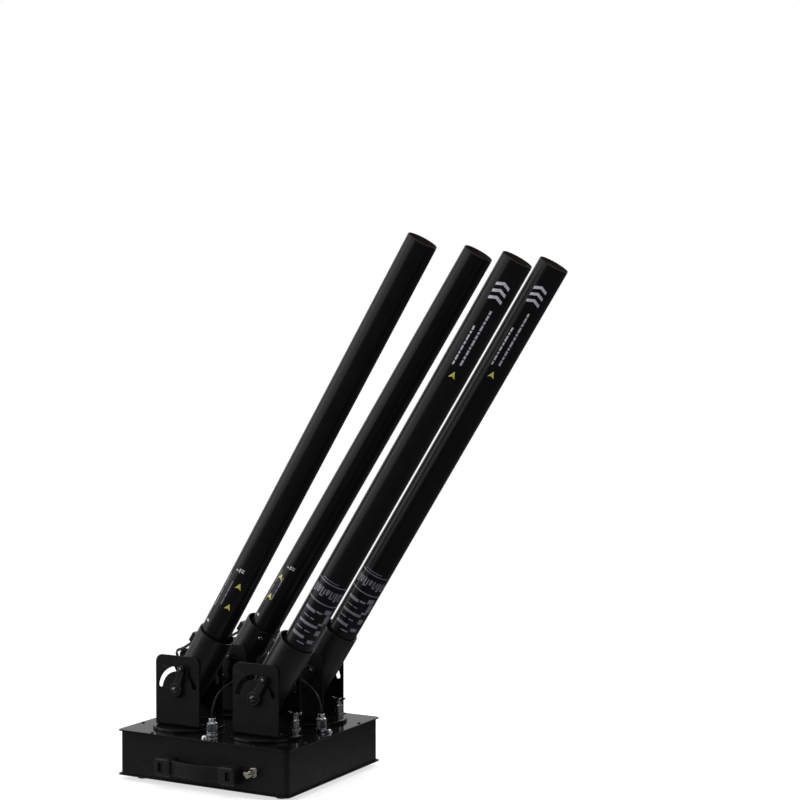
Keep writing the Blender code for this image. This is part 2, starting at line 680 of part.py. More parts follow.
def make_inlet():
    """The mains inlet in the back wall: a flange outside and a recessed body inside."""
    y = BACK + CLEARANCE
    outline = rounded_rectangle(INLET_FLANGE_X, INLET_FLANGE_Z, FLANGE_CORNER, 3, (INLET_X, BACK_CENTRE_Z))
    flange = prism_object("power_inlet", outline, FLANGE_THICKNESS, "Y", y)
    inlet = link(flange, "power_inlet", "black_plastic")
    size = (INLET_WIDTH, INLET_DEPTH, INLET_HEIGHT)
    body_y = y + JOIN_DEPTH - INLET_DEPTH / 2
    join(inlet, box_object("add_inlet_body", size, (INLET_X, body_y, BACK_CENTRE_Z)))
    depth = INLET_DEPTH - INLET_END
    hollow = (INLET_WIDTH - 2 * INLET_WALL, depth, INLET_HEIGHT - 2 * INLET_WALL)
    middle = y + FLANGE_THICKNESS + JOIN_DEPTH - depth / 2
    cut(inlet, box_object("cut_inlet_recess", hollow, (INLET_X, middle, BACK_CENTRE_Z)))


def make_signal_socket(name, x):
    """A round signal socket in the back wall: a flange outside and a hollow body inside."""
    y = BACK + CLEARANCE
    outline = rounded_rectangle(SIGNAL_FLANGE_X, SIGNAL_FLANGE_Z, FLANGE_CORNER, 3, (x, BACK_CENTRE_Z))
    item = link(prism_object(name, outline, FLANGE_THICKNESS, "Y", y), name, "black_plastic")
    start = y + JOIN_DEPTH
    end = start - SIGNAL_DEPTH
    join(item, rod_object("add_body_" + name, SIGNAL_RADIUS, (x, start, BACK_CENTRE_Z),
                          (x, end, BACK_CENTRE_Z), 20))
    cut(item, rod_object("cut_bore_" + name, SIGNAL_BORE_RADIUS, (x, y + 2 * FLANGE_THICKNESS, BACK_CENTRE_Z),
                         (x, end + SIGNAL_END, BACK_CENTRE_Z), 20))


def button_x(index):
    """Place of a button along the panel's row."""
    return PANEL_X + (index - (BUTTON_COUNT - 1) / 2) * BUTTON_PITCH


def make_control_panel():
    """The control panel in the back wall: bezel, display recess and the board's box behind."""
    y = BACK + CLEARANCE
    outline = rounded_rectangle(PANEL_WIDTH, PANEL_HEIGHT, FLANGE_CORNER, 3, (PANEL_X, BACK_CENTRE_Z))
    panel = link(prism_object("control_panel", outline, PANEL_THICKNESS, "Y", y),
                 "control_panel", "black_plastic")
    size = (PANEL_BODY_WIDTH, PANEL_BODY_DEPTH, PANEL_BODY_HEIGHT)
    body_y = y + JOIN_DEPTH - PANEL_BODY_DEPTH / 2
    join(panel, box_object("add_panel_body", size, (PANEL_X, body_y, BACK_CENTRE_Z)))
    size = (DISPLAY_WIDTH, 2 * DISPLAY_RECESS, DISPLAY_HEIGHT)
    display_z = BACK_CENTRE_Z + DISPLAY_LIFT
    cut(panel, box_object("cut_display", size, (PANEL_X, y + PANEL_THICKNESS, display_z)))
    z = BACK_CENTRE_Z - BUTTON_DROP
    room_start = BUTTON_SEAT - BUTTON_TRAVEL - CLEARANCE
    room_end = BUTTON_SEAT + BUTTON_FLANGE_THICKNESS + CLEARANCE
    for index in range(BUTTON_COUNT):
        x = button_x(index)
        cut(panel, rod_object(f"cut_button_{index}", BUTTON_RADIUS + CLEARANCE, (x, BUTTON_SEAT, z),
                              (x, y + 2 * PANEL_THICKNESS, z), 14))
        cut(panel, rod_object(f"cut_button_room_{index}", BUTTON_FLANGE_RADIUS + CLEARANCE,
                              (x, room_start, z), (x, room_end, z), 14))


def make_button(index):
    """A push button with a flange that keeps it behind the bezel."""
    length = BACK + CLEARANCE + PANEL_THICKNESS + BUTTON_STAND - BUTTON_SEAT
    profile = [
        (0.0, length),
        (BUTTON_RADIUS - BUTTON_CHAMFER, length),
        (BUTTON_RADIUS, length - BUTTON_CHAMFER),
        (BUTTON_RADIUS, BUTTON_FLANGE_THICKNESS),
        (BUTTON_FLANGE_RADIUS, BUTTON_FLANGE_THICKNESS),
        (BUTTON_FLANGE_RADIUS, 0.0),
        (0.0, 0.0),
    ]
    name = f"button_{index + 1}"
    item = link(turned_object(name, profile, 14), name, "black_plastic")
    item.location = (button_x(index), BUTTON_SEAT, BACK_CENTRE_Z - BUTTON_DROP)
    item.rotation_euler = (math.radians(-90), 0.0, 0.0)


def make_turntable(name, head, pan):
    """A head's disc with its spindle, the collar below the lid and the plunger's barrel.

    Heights are from the lid's top, where the swivel empty is."""
    bottom = SWIVEL_GAP
    top = bottom + DISC_THICKNESS
    collar_top = -LID_THICKNESS - CLEARANCE
    profile = [
        (0.0, top),
        (DISC_RADIUS - DISC_CHAMFER, top),
        (DISC_RADIUS, top - DISC_CHAMFER),
        (DISC_RADIUS, bottom),
        (SPINDLE_RADIUS, bottom),
        (SPINDLE_RADIUS, collar_top),
        (COLLAR_RADIUS, collar_top),
        (COLLAR_RADIUS, collar_top - COLLAR_THICKNESS),
        (0.0, collar_top - COLLAR_THICKNESS),
    ]
    table = link(turned_object("turntable_" + name, profile, 40), "turntable_" + name, "black_steel", pan)
    x = head["x"] * PLUNGER_RADIUS
    join(table, rod_object("add_barrel_" + name, BARREL_RADIUS, (x, 0, top - JOIN_DEPTH),
                           (x, 0, top + BARREL_HEIGHT), 16), pan)
    ring = top + BARREL_COLLAR_LIFT
    join(table, rod_object("add_barrel_collar_" + name, BARREL_COLLAR_RADIUS, (x, 0, ring),
                           (x, 0, ring + BARREL_COLLAR_HEIGHT), 16), pan)
    cut(table, rod_object("cut_barrel_" + name, PIN_RADIUS + CLEARANCE, (x, 0, bottom - DISC_THICKNESS),
                          (x, 0, top + 2 * BARREL_HEIGHT), 12), pan)


def make_plunger(name, head, pan):
    """The pull knob with its brake pin, which presses on the lid through the disc."""
    seat = SWIVEL_GAP + DISC_THICKNESS + BARREL_HEIGHT + CLEARANCE
    top = seat + KNOB_HEIGHT
    profile = [
        (0.0, top - KNOB_CHAMFER),
        (KNOB_WAIST_RADIUS, top - KNOB_CHAMFER),
        (KNOB_WAIST_RADIUS, seat + KNOB_SKIRT + KNOB_CHAMFER),
        (BARREL_RADIUS, seat + KNOB_SKIRT),
        (BARREL_RADIUS, seat),
        (PIN_RADIUS, seat),
        (PIN_RADIUS, CLEARANCE + KNOB_CHAMFER),
        (PIN_TIP_RADIUS, CLEARANCE),
        (0.0, CLEARANCE),
    ]
    knob = link(turned_object("plunger_" + name, profile, 12), "plunger_" + name, "zinc", pan)
    knob.location = (head["x"] * PLUNGER_RADIUS, 0.0, 0.0)
    half = KNOB_WING_SPAN / 2
    low = top - KNOB_WING_HEIGHT
    middle = top - KNOB_WING_HEIGHT / 2
    outline = [(-half, top), (-half, middle), (-half * 0.3, low), (half * 0.3, low), (half, middle),
               (half, top), (half * 0.45, top - KNOB_WING_DIP), (-half * 0.45, top - KNOB_WING_DIP)]
    wings = prism_object("add_wings_" + name, outline, KNOB_WING_THICKNESS, "Y", -KNOB_WING_THICKNESS / 2)
    wings.location = knob.location
    join(knob, wings, pan)


def slot_outline():
    """The curved tilt slot about the pivot, in X and Z."""
    half = SLOT_WIDTH / 2
    first, last = 90 - SLOT_HALF_ANGLE, 90 + SLOT_HALF_ANGLE
    outline = arc((0, 0), SLOT_RADIUS + half, first, last, 16)
    end = math.radians(last)
    end_centre = (SLOT_RADIUS * math.cos(end), SLOT_RADIUS * math.sin(end))
    outline += arc(end_centre, half, last, last + 180, 4)[1:-1]
    outline += arc((0, 0), SLOT_RADIUS - half, last, first, 16)
    start = math.radians(first)
    start_centre = (SLOT_RADIUS * math.cos(start), SLOT_RADIUS * math.sin(start))
    outline += arc(start_centre, half, first + 180, first + 360, 4)[1:-1]
    return outline


def bracket_profile():
    """The U of the bracket in Y and Z from the tilt axis: outer side, then inner side."""
    low = BRACKET_BOTTOM - PIVOT_HEIGHT
    outer = [(-BRACKET_OUTSIDE, BRACKET_TOP)]
    outer += arc((-BRACKET_OUTSIDE + BEND_RADIUS, low + BEND_RADIUS), BEND_RADIUS, 180, 270, 3)
    outer += arc((BRACKET_OUTSIDE - BEND_RADIUS, low + BEND_RADIUS), BEND_RADIUS, 270, 360, 3)
    outer += [(BRACKET_OUTSIDE, BRACKET_TOP)]
    bend = BEND_RADIUS - SHEET_THICKNESS
    floor = low + SHEET_THICKNESS
    inner = [(BRACKET_INSIDE, BRACKET_TOP)]
    inner += arc((BRACKET_INSIDE - bend, floor + bend), bend, 360, 270, 3)
    inner += arc((-BRACKET_INSIDE + bend, floor + bend), bend, 270, 180, 3)
    inner += [(-BRACKET_INSIDE, BRACKET_TOP)]
    return outer + inner


def make_bracket(name, head, swing):
    """The U bracket of one head, with its rounded ears, tilt slots and lead clip."""
    bracket = prism_object("bracket_" + name, bracket_profile(), BRACKET_WIDTH, "Z", -BRACKET_WIDTH / 2)
    # The U is drawn flat and stood up, so that it runs along X.
    quarter = math.radians(90)
    bracket.data.transform(Matrix.Rotation(quarter, 4, "Z") @ Matrix.Rotation(quarter, 4, "X"))
    link(bracket, "bracket_" + name, "black_steel", swing)
    low = BRACKET_BOTTOM - PIVOT_HEIGHT - BEND_RADIUS
    half = BRACKET_WIDTH / 2
    corner_x, corner_z = half - BRACKET_CORNER, BRACKET_TOP - BRACKET_CORNER
    ear = [(-half, low), (half, low)]
    ear += arc((corner_x, corner_z), BRACKET_CORNER, 0, 90, 5)
    ear += arc((-corner_x, corner_z), BRACKET_CORNER, 90, 180, 5)
    reach = 2 * BRACKET_OUTSIDE
    keep_inside(bracket, prism_object("keep_ear_" + name, ear, 2 * reach, "Y", -reach), swing)
    cut(bracket, prism_object("cut_slot_" + name, slot_outline(), 2 * reach, "Y", -reach), swing)
    cut(bracket, rod_object("cut_pivot_" + name, BOLT_HOLE_RADIUS, (0, -reach, 0), (0, reach, 0), 16), swing)
    join(bracket, make_clip(name, head), swing)


def clip_side(head):
    """How far the middle of a lead clip is from the head's middle plane; it is sunk a little
    into the sheet that it sits on."""
    sunk = 0.0004
    if head["clip_outside"]:
        return BRACKET_OUTSIDE + CLIP_SIZE / 2 - sunk
    return BRACKET_INSIDE - CLIP_SIZE / 2 + sunk


def make_clip(name, head):
    """The block that holds the lead on the bracket's back plate, near its left edge."""
    length = CLIP_LENGTH_OUTSIDE if head["clip_outside"] else CLIP_SIZE
    middle = clip_x(head)
    if head["clip_outside"]:
        middle += (CLIP_LENGTH_OUTSIDE - CLIP_SIZE) / 2
    return box_object("add_clip_" + name, (length, CLIP_SIZE, CLIP_SIZE), (middle, clip_side(head), CLIP_Z))


def clip_x(head):
    return CLIP_X_OUTSIDE if head["clip_outside"] else CLIP_X


def make_holder(name, tilt):
    """The tube holder: a cup on an open skirt, its two guide bolts and its lead terminal."""
    inner = HOLDER_RADIUS - HOLDER_WALL
    under = HOLDER_FLOOR - HOLDER_FLOOR_THICKNESS
    profile = [
        (0.0, HOLDER_FLOOR),
        (inner, HOLDER_FLOOR),
        (inner, HOLDER_RIM),
        (HOLDER_RADIUS, HOLDER_RIM),
        (HOLDER_RADIUS, -HOLDER_SKIRT),
        (inner, -HOLDER_SKIRT),
        (inner, under),
        (0.0, under),
    ]
    holder = link(turned_object("holder_" + name, profile, 32), "holder_" + name, "black_gloss", tilt)
    for side, sign in (("front", -1), ("back", 1)):
        start = sign * (HOLDER_RADIUS - HOLDER_WALL * GUIDE_SUNK)
        head_start = sign * (BRACKET_OUTSIDE + CLEARANCE)
        end = head_start + sign * GUIDE_HEAD_THICKNESS
        join(holder, rod_object(f"add_guide_{side}_{name}", GUIDE_RADIUS, (0, start, SLOT_RADIUS),
                                (0, end, SLOT_RADIUS), 12), tilt)
        join(holder, rod_object(f"add_guide_head_{side}_{name}", GUIDE_HEAD_RADIUS,
                                (0, head_start, SLOT_RADIUS), (0, end, SLOT_RADIUS), 12), tilt)
    x = -(HOLDER_RADIUS + TERMINAL_HEIGHT / 2 - TERMINAL_SUNK)
    size = (TERMINAL_HEIGHT, TERMINAL_WIDTH, TERMINAL_LENGTH)
    join(holder, box_object("add_terminal_" + name, size, (x, 0, TERMINAL_PLACE)), tilt)
    reach = 2 * HOLDER_RADIUS
    cut(holder, rod_object("cut_holder_pivot_" + name, BOLT_HOLE_RADIUS,
                           (0, -reach, 0), (0, reach, 0), 16), tilt)


def make_pivot_bolt(name, swing):
    """The tilt bolt through bracket and holder: dome head in front, nut at the back.

    It is turned about Z from the dome down, and laid along Y."""
    head_start = LEVER_TOP + CLEARANCE
    nut_start = BRACKET_OUTSIDE + CLEARANCE
    neck = -DOME_HEIGHT
    nut = neck - head_start - nut_start
    profile = [
        (0.0, 0.0),
        *[(DOME_RADIUS * math.sin(a), (DOME_HEIGHT - DOME_FLANK) * (math.cos(a) - 1))
          for a in (math.radians(d) for d in (35, 65, 90))],
        (DOME_RADIUS, neck),
        (BOLT_RADIUS, neck),
        (BOLT_RADIUS, nut),
        (NUT_RADIUS, nut),
        (NUT_RADIUS, nut - NUT_THICKNESS),
        (0.0, nut - NUT_THICKNESS),
    ]
    bolt = link(turned_object("pivot_bolt_" + name, profile, 12), "pivot_bolt_" + name, "chrome", swing)
    bolt.location = (0.0, -head_start - DOME_HEIGHT, 0.0)
    bolt.rotation_euler = (math.radians(90), 0.0, 0.0)


def make_lever(name, swing, lean):
    """The clamp lever on the pivot bolt, its arm standing off the guide bolt's head."""
    start = -(BRACKET_OUTSIDE + CLEARANCE)
    lever = rod_object("clamp_lever_" + name, LEVER_HUB_RADIUS, (0, start, 0),
                       (0, start - LEVER_HUB_HEIGHT, 0), 20, LEVER_HUB_TIP_RADIUS)
    link(lever, "clamp_lever_" + name, "black_plastic", swing)
    lever.rotation_euler = (0.0, lean, 0.0)
    half = LEVER_ARM_WIDTH / 2
    outline = [(half, 0.0), *arc((0.0, LEVER_REACH), half, 0, 180, 6), (-half, 0.0)]
    arm = prism_object("add_arm_" + name, outline, -LEVER_ARM_THICKNESS, "Y", start - LEVER_ARM_LIFT)
    join(lever, arm, swing)
    arm_top = start - LEVER_ARM_TOP
    knob = rod_object("add_knob_" + name, LEVER_END_RADIUS, (0, arm_top + JOIN_DEPTH, LEVER_REACH),
                      (0, arm_top - LEVER_END_RISE, LEVER_REACH), 16, LEVER_END_TIP_RADIUS)
    join(lever, knob, swing)
    hole = rod_object("cut_lever_" + name, BOLT_HOLE_RADIUS, (0, 0, 0), (0, 2 * start, 0), 16)
    cut(lever, hole, swing)
    for piece in (arm, knob, hole):
        piece.rotation_euler = (0.0, lean, 0.0)


def make_tube(name, head, tilt):
    """A launch tube: a long thin tube with a plug in its foot, open at the muzzle."""
    bottom = HOLDER_FLOOR + CLEARANCE
    top = bottom + head["tube"]
    inner = TUBE_RADIUS - TUBE_WALL
    profile = [
        (0.0, bottom + TUBE_PLUG),
        (inner, bottom + TUBE_PLUG),
        (inner, top),
        (TUBE_RADIUS, top),
        (TUBE_RADIUS, bottom),
        (0.0, bottom),
    ]
    tube = link(turned_object("tube_" + name, profile, 32), "tube_" + name, "black_gloss", tilt)
    tube.location = (-head["shift"] * TUBE_SIDE_SHIFT, 0.0, 0.0)


def make_leads(name, head, place, lean):
    """The head's lead in two stretches: socket to bracket clip, clip to holder terminal."""
    origin = Vector((*place, PIVOT_HEIGHT))
    clip = Vector((clip_x(head), clip_side(head), CLIP_Z))
    gap = CLIP_SIZE / 2 + CLEARANCE
    straight = Vector((0, 0, LEAD_STRAIGHT))
    start = Vector((*SOCKETS[name], BASE_HEIGHT + SOCKET_HEIGHT + CLEARANCE))
    middle = [origin + Vector(p) for p in LOWER_ROUTES[name]]
    if name == "bl":
        end_way = Vector((1, 0, 0))
        end = origin + clip + end_way * (gap + CLIP_LENGTH_OUTSIDE - CLIP_SIZE)
    else:
        end_way = Vector((-1, 0, 0))
        end = origin + clip + end_way * gap
    points = [start, start + straight, *middle, end + end_way * LEAD_STRAIGHT, end]
    lead_object("lead_lower_" + name, points)
    route = UPPER_ROUTE_OUTSIDE if head["clip_outside"] else UPPER_ROUTE_INSIDE
    start = clip + Vector((0, 0, gap))
    along = TERMINAL_PLACE - TERMINAL_LENGTH / 2 - CLEARANCE
    out = HOLDER_RADIUS + TERMINAL_HEIGHT / 2
    turn = Matrix.Rotation(lean, 3, "Y")
    points = [start, start + straight, *[Vector(p) for p in route]]
    points += [turn @ Vector((-out, 0, along - LEAD_STRAIGHT)), turn @ Vector((-out, 0, along))]
    lead_object("lead_upper_" + name, [origin + p for p in points])


def make_head(name, head):
    """All pieces of one head, carried by its swivel and tilt empties."""
    place = head_place(head)
    lean = math.radians(head["lean"])
    pan = make_empty("pan_axis_" + name, (*place, BASE_HEIGHT))
    swing = make_empty("tilt_axis_" + name, (0.0, 0.0, PIVOT_HEIGHT - BASE_HEIGHT), pan)
    tilt = make_empty("tilted_" + name, (0.0, 0.0, 0.0), swing, (0.0, lean, 0.0))
    make_turntable(name, head, pan)
    make_plunger(name, head, pan)
    make_bracket(name, head, swing)
    make_pivot_bolt(name, swing)
    make_lever(name, swing, math.radians(head["lever"]))
    make_holder(name, tilt)
    make_tube(name, head, tilt)
    make_leads(name, head, place, lean)


def main():
    clear_scene()
    make_collections()
    make_shell()
    make_lid()
    make_floor()
    make_supply()
    make_handle()
    make_earth_terminal()
    make_inlet()
    make_signal_socket("signal_in", SIGNAL_IN_X)
    make_signal_socket("signal_out", SIGNAL_OUT_X)
    make_control_panel()
    for index in range(BUTTON_COUNT):
        make_button(index)
    for name, head in HEADS.items():
        make_foot(name, head)
        make_socket(name)
        make_head(name, head)


main()
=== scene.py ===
"""The visual model of the four-head confetti launcher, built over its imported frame.

Lengths are in metres and places are in the frame's axes: +Z up, +X the way the tubes lean,
-Y the front wall with the carrying handle. Sizes repeat the named values of the CAD source.
"""

import json
import math

import bmesh
import bpy
from mathutils import Matrix, Vector


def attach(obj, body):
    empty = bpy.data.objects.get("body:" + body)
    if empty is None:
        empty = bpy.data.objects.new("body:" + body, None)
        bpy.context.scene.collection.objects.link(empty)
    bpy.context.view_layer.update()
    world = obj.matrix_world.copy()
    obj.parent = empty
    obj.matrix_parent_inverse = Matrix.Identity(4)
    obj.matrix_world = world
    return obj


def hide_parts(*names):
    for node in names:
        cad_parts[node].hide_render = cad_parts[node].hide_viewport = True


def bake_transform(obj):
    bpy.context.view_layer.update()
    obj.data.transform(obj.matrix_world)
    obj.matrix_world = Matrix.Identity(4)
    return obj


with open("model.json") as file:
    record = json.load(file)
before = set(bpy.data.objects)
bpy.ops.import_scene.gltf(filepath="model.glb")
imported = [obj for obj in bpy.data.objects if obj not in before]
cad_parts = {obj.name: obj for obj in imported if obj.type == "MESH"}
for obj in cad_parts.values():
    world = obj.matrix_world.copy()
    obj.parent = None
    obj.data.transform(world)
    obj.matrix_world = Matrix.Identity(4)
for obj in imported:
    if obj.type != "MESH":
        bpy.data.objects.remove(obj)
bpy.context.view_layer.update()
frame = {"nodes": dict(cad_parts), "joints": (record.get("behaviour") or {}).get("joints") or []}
joints = {joint["name"]: joint for joint in frame["joints"]}

# Camera
CAMERA_PLACE = Vector((1.4930, -2.2375, 0.6440))
CAMERA_TARGET = Vector((0.2016, 0.1345, 0.5948))
CAMERA_LENS = 74.69

# Base
CLEARANCE = 0.0003
BASE_WIDTH = 0.322
BASE_DEPTH = 0.284
BASE_HEIGHT = 0.072
LID_THICKNESS = 0.002
FLOOR_THICKNESS = 0.002
LID_OVERHANG = 0.0035
WALL_THICKNESS = 0.0016
CORNER_RADIUS = 0.008
FRONT = LID_OVERHANG - BASE_DEPTH / 2
BACK = -FRONT
FOOT_PLACE = (0.131, 0.112)
FOOT_RADIUS = 0.010
FOOT_TIP_RADIUS = 0.0085
FOOT_DROP = 0.008

# Heads
DISC_RADIUS = 0.0585
DISC_BOTTOM = 0.0005            # above the lid
DISC_THICKNESS = 0.0045
SPINDLE_RADIUS = 0.014
PLUNGER_RADIUS = 0.0520
BARREL_RADIUS = 0.0062
BARREL_HEIGHT = 0.0200
KNOB_HEIGHT = 0.018
PIVOT_HEIGHT = 0.136
BRACKET_WIDTH = 0.084
BRACKET_TOP = 0.054
BRACKET_CORNER = 0.012
BRACKET_OUTSIDE = 0.0331
SHEET_THICKNESS = 0.0025
BEND_RADIUS = 0.0045
SLOT_RADIUS = 0.033
SLOT_WIDTH = 0.0080
SLOT_ENDS = (10.0, 170.0)       # degrees from +X
CLIP_SIZE = 0.0066
HOLDER_RADIUS = 0.030
HOLDER_WALL = 0.002
HOLDER_RIM = 0.104
HOLDER_SKIRT = 0.033
HOLDER_FLOOR = 0.010
TERMINAL_PLACE = 0.074
TERMINAL_SIZE = (0.0080, 0.0140, 0.0160)
TUBE_RADIUS = 0.024
TUBE_WALL = 0.002
TUBE_BOTTOM = 0.0103            # above the tilt axis, along the tube
LEVER_FACE = 0.0068             # hub height off the bracket
LEVER_REACH = 0.038
LEAD_STRAIGHT = 0.005

# For each head: lever angle, tube length, sideways place of the tube in its holder, and
# where the lead clip sits on the bracket's back plate
HEADS = {
    "fl": dict(lever=21.0, tube=0.807, shift=-0.0034, clip=(-0.0462, 0.0360), outside=True),
    "bl": dict(lever=21.0, tube=0.812, shift=0.0034, clip=(-0.0462, 0.0360), outside=True),
    "fr": dict(lever=33.0, tube=0.782, shift=0.0034, clip=(-0.0385, 0.0277), outside=False),
    "br": dict(lever=44.0, tube=0.782, shift=0.0034, clip=(-0.0385, 0.0277), outside=False),
}
CLIP_Z = 0.024
CLIP_OVERHANG = 0.0054          # how much longer a clip outside the plate is
SOCKETS = {"fr": (0.0, -0.109), "bl": (0.0, 0.109), "fl": (-0.133, 0.0), "br": (0.133, 0.0)}
SOCKET_HEIGHT = 0.028

# The leads' routes, from the tilt axis of their head
LOWER_ROUTES = {
    "fl": [(-0.0600, 0.0620, -0.016), (-0.0590, 0.0500, 0.008), (-0.0570, 0.0400, 0.021)],
    "bl": [(0.0680, 0.0460, -0.014), (0.0500, 0.0480, 0.004), (0.0200, 0.0480, 0.019),
           (-0.0120, 0.0450, 0.0245), (-0.0290, 0.0385, 0.0240)],
    "fr": [(-0.0720, -0.0410, -0.016), (-0.0660, -0.0360, 0.002), (-0.0560, -0.0220, 0.015),
           (-0.0500, 0.0000, 0.022), (-0.0490, 0.0190, 0.0240)],
    "br": [(0.0540, -0.0640, -0.016), (0.0400, -0.0600, 0.000), (0.0140, -0.0570, 0.014),
           (-0.0180, -0.0560, 0.023), (-0.0420, -0.0470, 0.027), (-0.0520, -0.0240, 0.028),
           (-0.0510, 0.0060, 0.026), (-0.0490, 0.0200, 0.0240)],
}
UPPER_ROUTE_OUTSIDE = [(-0.0475, 0.0345, 0.038), (-0.0430, 0.0240, 0.047),
                       (-0.0310, 0.0110, 0.0540), (-0.0140, 0.0020, 0.0600)]
UPPER_ROUTE_INSIDE = [(-0.0370, 0.0270, 0.037), (-0.0270, 0.0180, 0.047), (-0.0120, 0.0060, 0.0575)]

# Front and back wall pieces
STRAP_FACE = -0.1543
STRAP_REACH = 0.045
STRAP_IN_CAP = 0.023
STRAP_BOW = 0.008
STRAP_HEIGHT = 0.024
STRAP_THICKNESS = 0.004
HANDLE_Z = 0.026
CAP_SIZE = (0.030, 0.0285, 0.021)
CAP_CENTRE = 0.060
CAP_WINDOW = 0.063
EARTH_PLACE = (0.097, 0.032)
WING_TURN = 24.0                # degrees
BACK_CENTRE_Z = 0.036
INLET_X = 0.112
SIGNALS = {"in": 0.060, "out": 0.024}
CONTACT_ANGLES = [math.radians(angle) for angle in (90, 210, 330)]
PANEL_X = -0.066
BUTTON_PITCH = 0.0165
BUTTON_Z = 0.026

TURN_TO_FRONT = Matrix.Rotation(math.radians(90), 4, "X")    # local +Z to world -Y
TURN_TO_BACK = Matrix.Rotation(math.radians(-90), 4, "X")    # local +Z to world +Y


# Materials
def link(tree, kind, inputs=None, **settings):
    """A shader node with its settings, its inputs given as numbers or as other sockets."""
    item = tree.nodes.new("ShaderNode" + kind)
    for name, value in settings.items():
        setattr(item, name, value)
    for name, value in (inputs or {}).items():
        if isinstance(value, bpy.types.NodeSocket):
            tree.links.new(value, item.inputs[name])
        else:
            item.inputs[name].default_value = value
    return item


def noise(tree, scale, detail=3.0, stretch=(1.0, 1.0, 1.0)):
    """Noise in the object's own coordinates."""
    place = link(tree, "TexCoord").outputs["Object"]
    mapped = link(tree, "Mapping", {"Vector": place, "Scale": stretch}).outputs[0]
    chance = link(tree, "ObjectInfo").outputs["Random"]
    settings = {"Vector": mapped, "W": chance, "Scale": scale, "Detail": detail, "Roughness": 0.6}
    return link(tree, "TexNoise", settings, noise_dimensions="4D").outputs["Fac"]


def span(tree, value, low, high, start=0.3, end=0.7):
    """value from start to end as a number from low to high."""
    inputs = {"Value": value, "From Min": start, "From Max": end, "To Min": low, "To Max": high}
    return link(tree, "MapRange", inputs).outputs["Result"]


def blend_colours(tree, factor, first, second):
    """The mix of two colours, each a tuple or a socket."""
    item = link(tree, "Mix", data_type="RGBA")
    pairs = ((item.inputs["Factor"], factor), (item.inputs[6], first), (item.inputs[7], second))
    for socket, value in pairs:
        if isinstance(value, bpy.types.NodeSocket):
            tree.links.new(value, socket)
        else:
            socket.default_value = value if isinstance(value, float) else (*value, 1.0)
    return item.outputs[2]


def math_node(tree, operation, *values):
    """One Math node."""
    item = link(tree, "Math", operation=operation)
    for socket, value in zip(item.inputs, values):
        if isinstance(value, bpy.types.NodeSocket):
            tree.links.new(value, socket)
        else:
            socket.default_value = value
    return item.outputs[0]


DUST_COLOUR = (0.16, 0.155, 0.15)
SEAMS_PER_METRE = 9.0


def shades(first, first_blue, second, second_blue):
    """Two near greys, each by its level and its blue."""
    return (first, first, first_blue), (second, second, second_blue)


def surface(name, colours, rough, grain, bump, metallic=0.0, specular=0.5, wear_and_edge_highlight=None,
            dust=0.0, stretch=(1.0, 1.0, 1.0), height=None, coat=0.0):
    """A material with blotched colour, uneven gloss, a fine relief, lighter edges and dust.

    colours and rough are the two ends of their noise; grain is the relief's scale, bump its
    strength; the edge colour is that of rubbed edges and partly a painted highlight along them;
    height adds a pattern of its own to the relief."""
    material = bpy.data.materials.new(name)
    material.use_nodes = True
    tree = material.node_tree
    shader = tree.nodes["Principled BSDF"]
    colour = blend_colours(tree, span(tree, noise(tree, 38.0, 4.0), 0.0, 1.0), *colours)
    gloss = span(tree, noise(tree, 95.0, 4.0, stretch), *rough)
    # Lighter convex edges: partly rubbed paint, partly a painted highlight where light catches the edge.
    if wear_and_edge_highlight:
        edge = link(tree, "NewGeometry").outputs["Pointiness"]
        rubbed_and_highlit_edges = span(tree, edge, 0.0, 1.0, 0.53, 0.62)
        patchy = span(tree, noise(tree, 160.0), 0.0, 0.55, 0.42, 0.66)
        colour = blend_colours(tree, math_node(tree, "MULTIPLY", rubbed_and_highlit_edges, patchy), colour, wear_and_edge_highlight)
    if dust:
        normal = link(tree, "NewGeometry").outputs["Normal"]
        up = link(tree, "SeparateXYZ", {"Vector": normal}).outputs["Z"]
        facing = span(tree, up, 0.0, dust, 0.2, 0.9)
        specks = span(tree, noise(tree, 240.0, 6.0), 0.0, 1.0, 0.4, 0.75)
        lying = math_node(tree, "MULTIPLY", facing, specks)
        colour = blend_colours(tree, lying, colour, DUST_COLOUR)
        gloss = math_node(tree, "ADD", gloss, lying)
    tree.links.new(colour, shader.inputs["Base Color"])
    tree.links.new(gloss, shader.inputs["Roughness"])
    relief = noise(tree, grain, 2.0, stretch)
    if height:
        relief = math_node(tree, "ADD", relief, height(tree))
    lift = link(tree, "Bump", {"Height": relief, "Strength": bump, "Distance": 0.0004})
    tree.links.new(lift.outputs[0], shader.inputs["Normal"])
    shader.inputs["Metallic"].default_value = metallic
    shader.inputs["Specular IOR Level"].default_value = specular
    shader.inputs["Coat Weight"].default_value = coat
    shader.inputs["Coat Roughness"].default_value = 0.12
    return material


def wound_seams(tree):
    """The faint spiral joints of a wound tube that show through its wrap."""
    place = link(tree, "TexCoord").outputs["Object"]
    parts = link(tree, "SeparateXYZ", {"Vector": place}).outputs
    turn = math_node(tree, "ARCTAN2", parts["Y"], parts["X"])
    rise = math_node(tree, "MULTIPLY", parts["Z"], SEAMS_PER_METRE)
    winding = math_node(tree, "MULTIPLY_ADD", turn, 1 / (2 * math.pi), rise)
    distance = math_node(tree, "PINGPONG", winding, 0.5)
    return span(tree, distance, -0.9, 0.0, 0.0, 0.012)


def knurl_lines(tree):
    """Fine lengthwise lines, as on drawn or turned metal."""
    return math_node(tree, "MULTIPLY", noise(tree, 700.0, 2.0, (1.0, 1.0, 0.05)), 0.8)


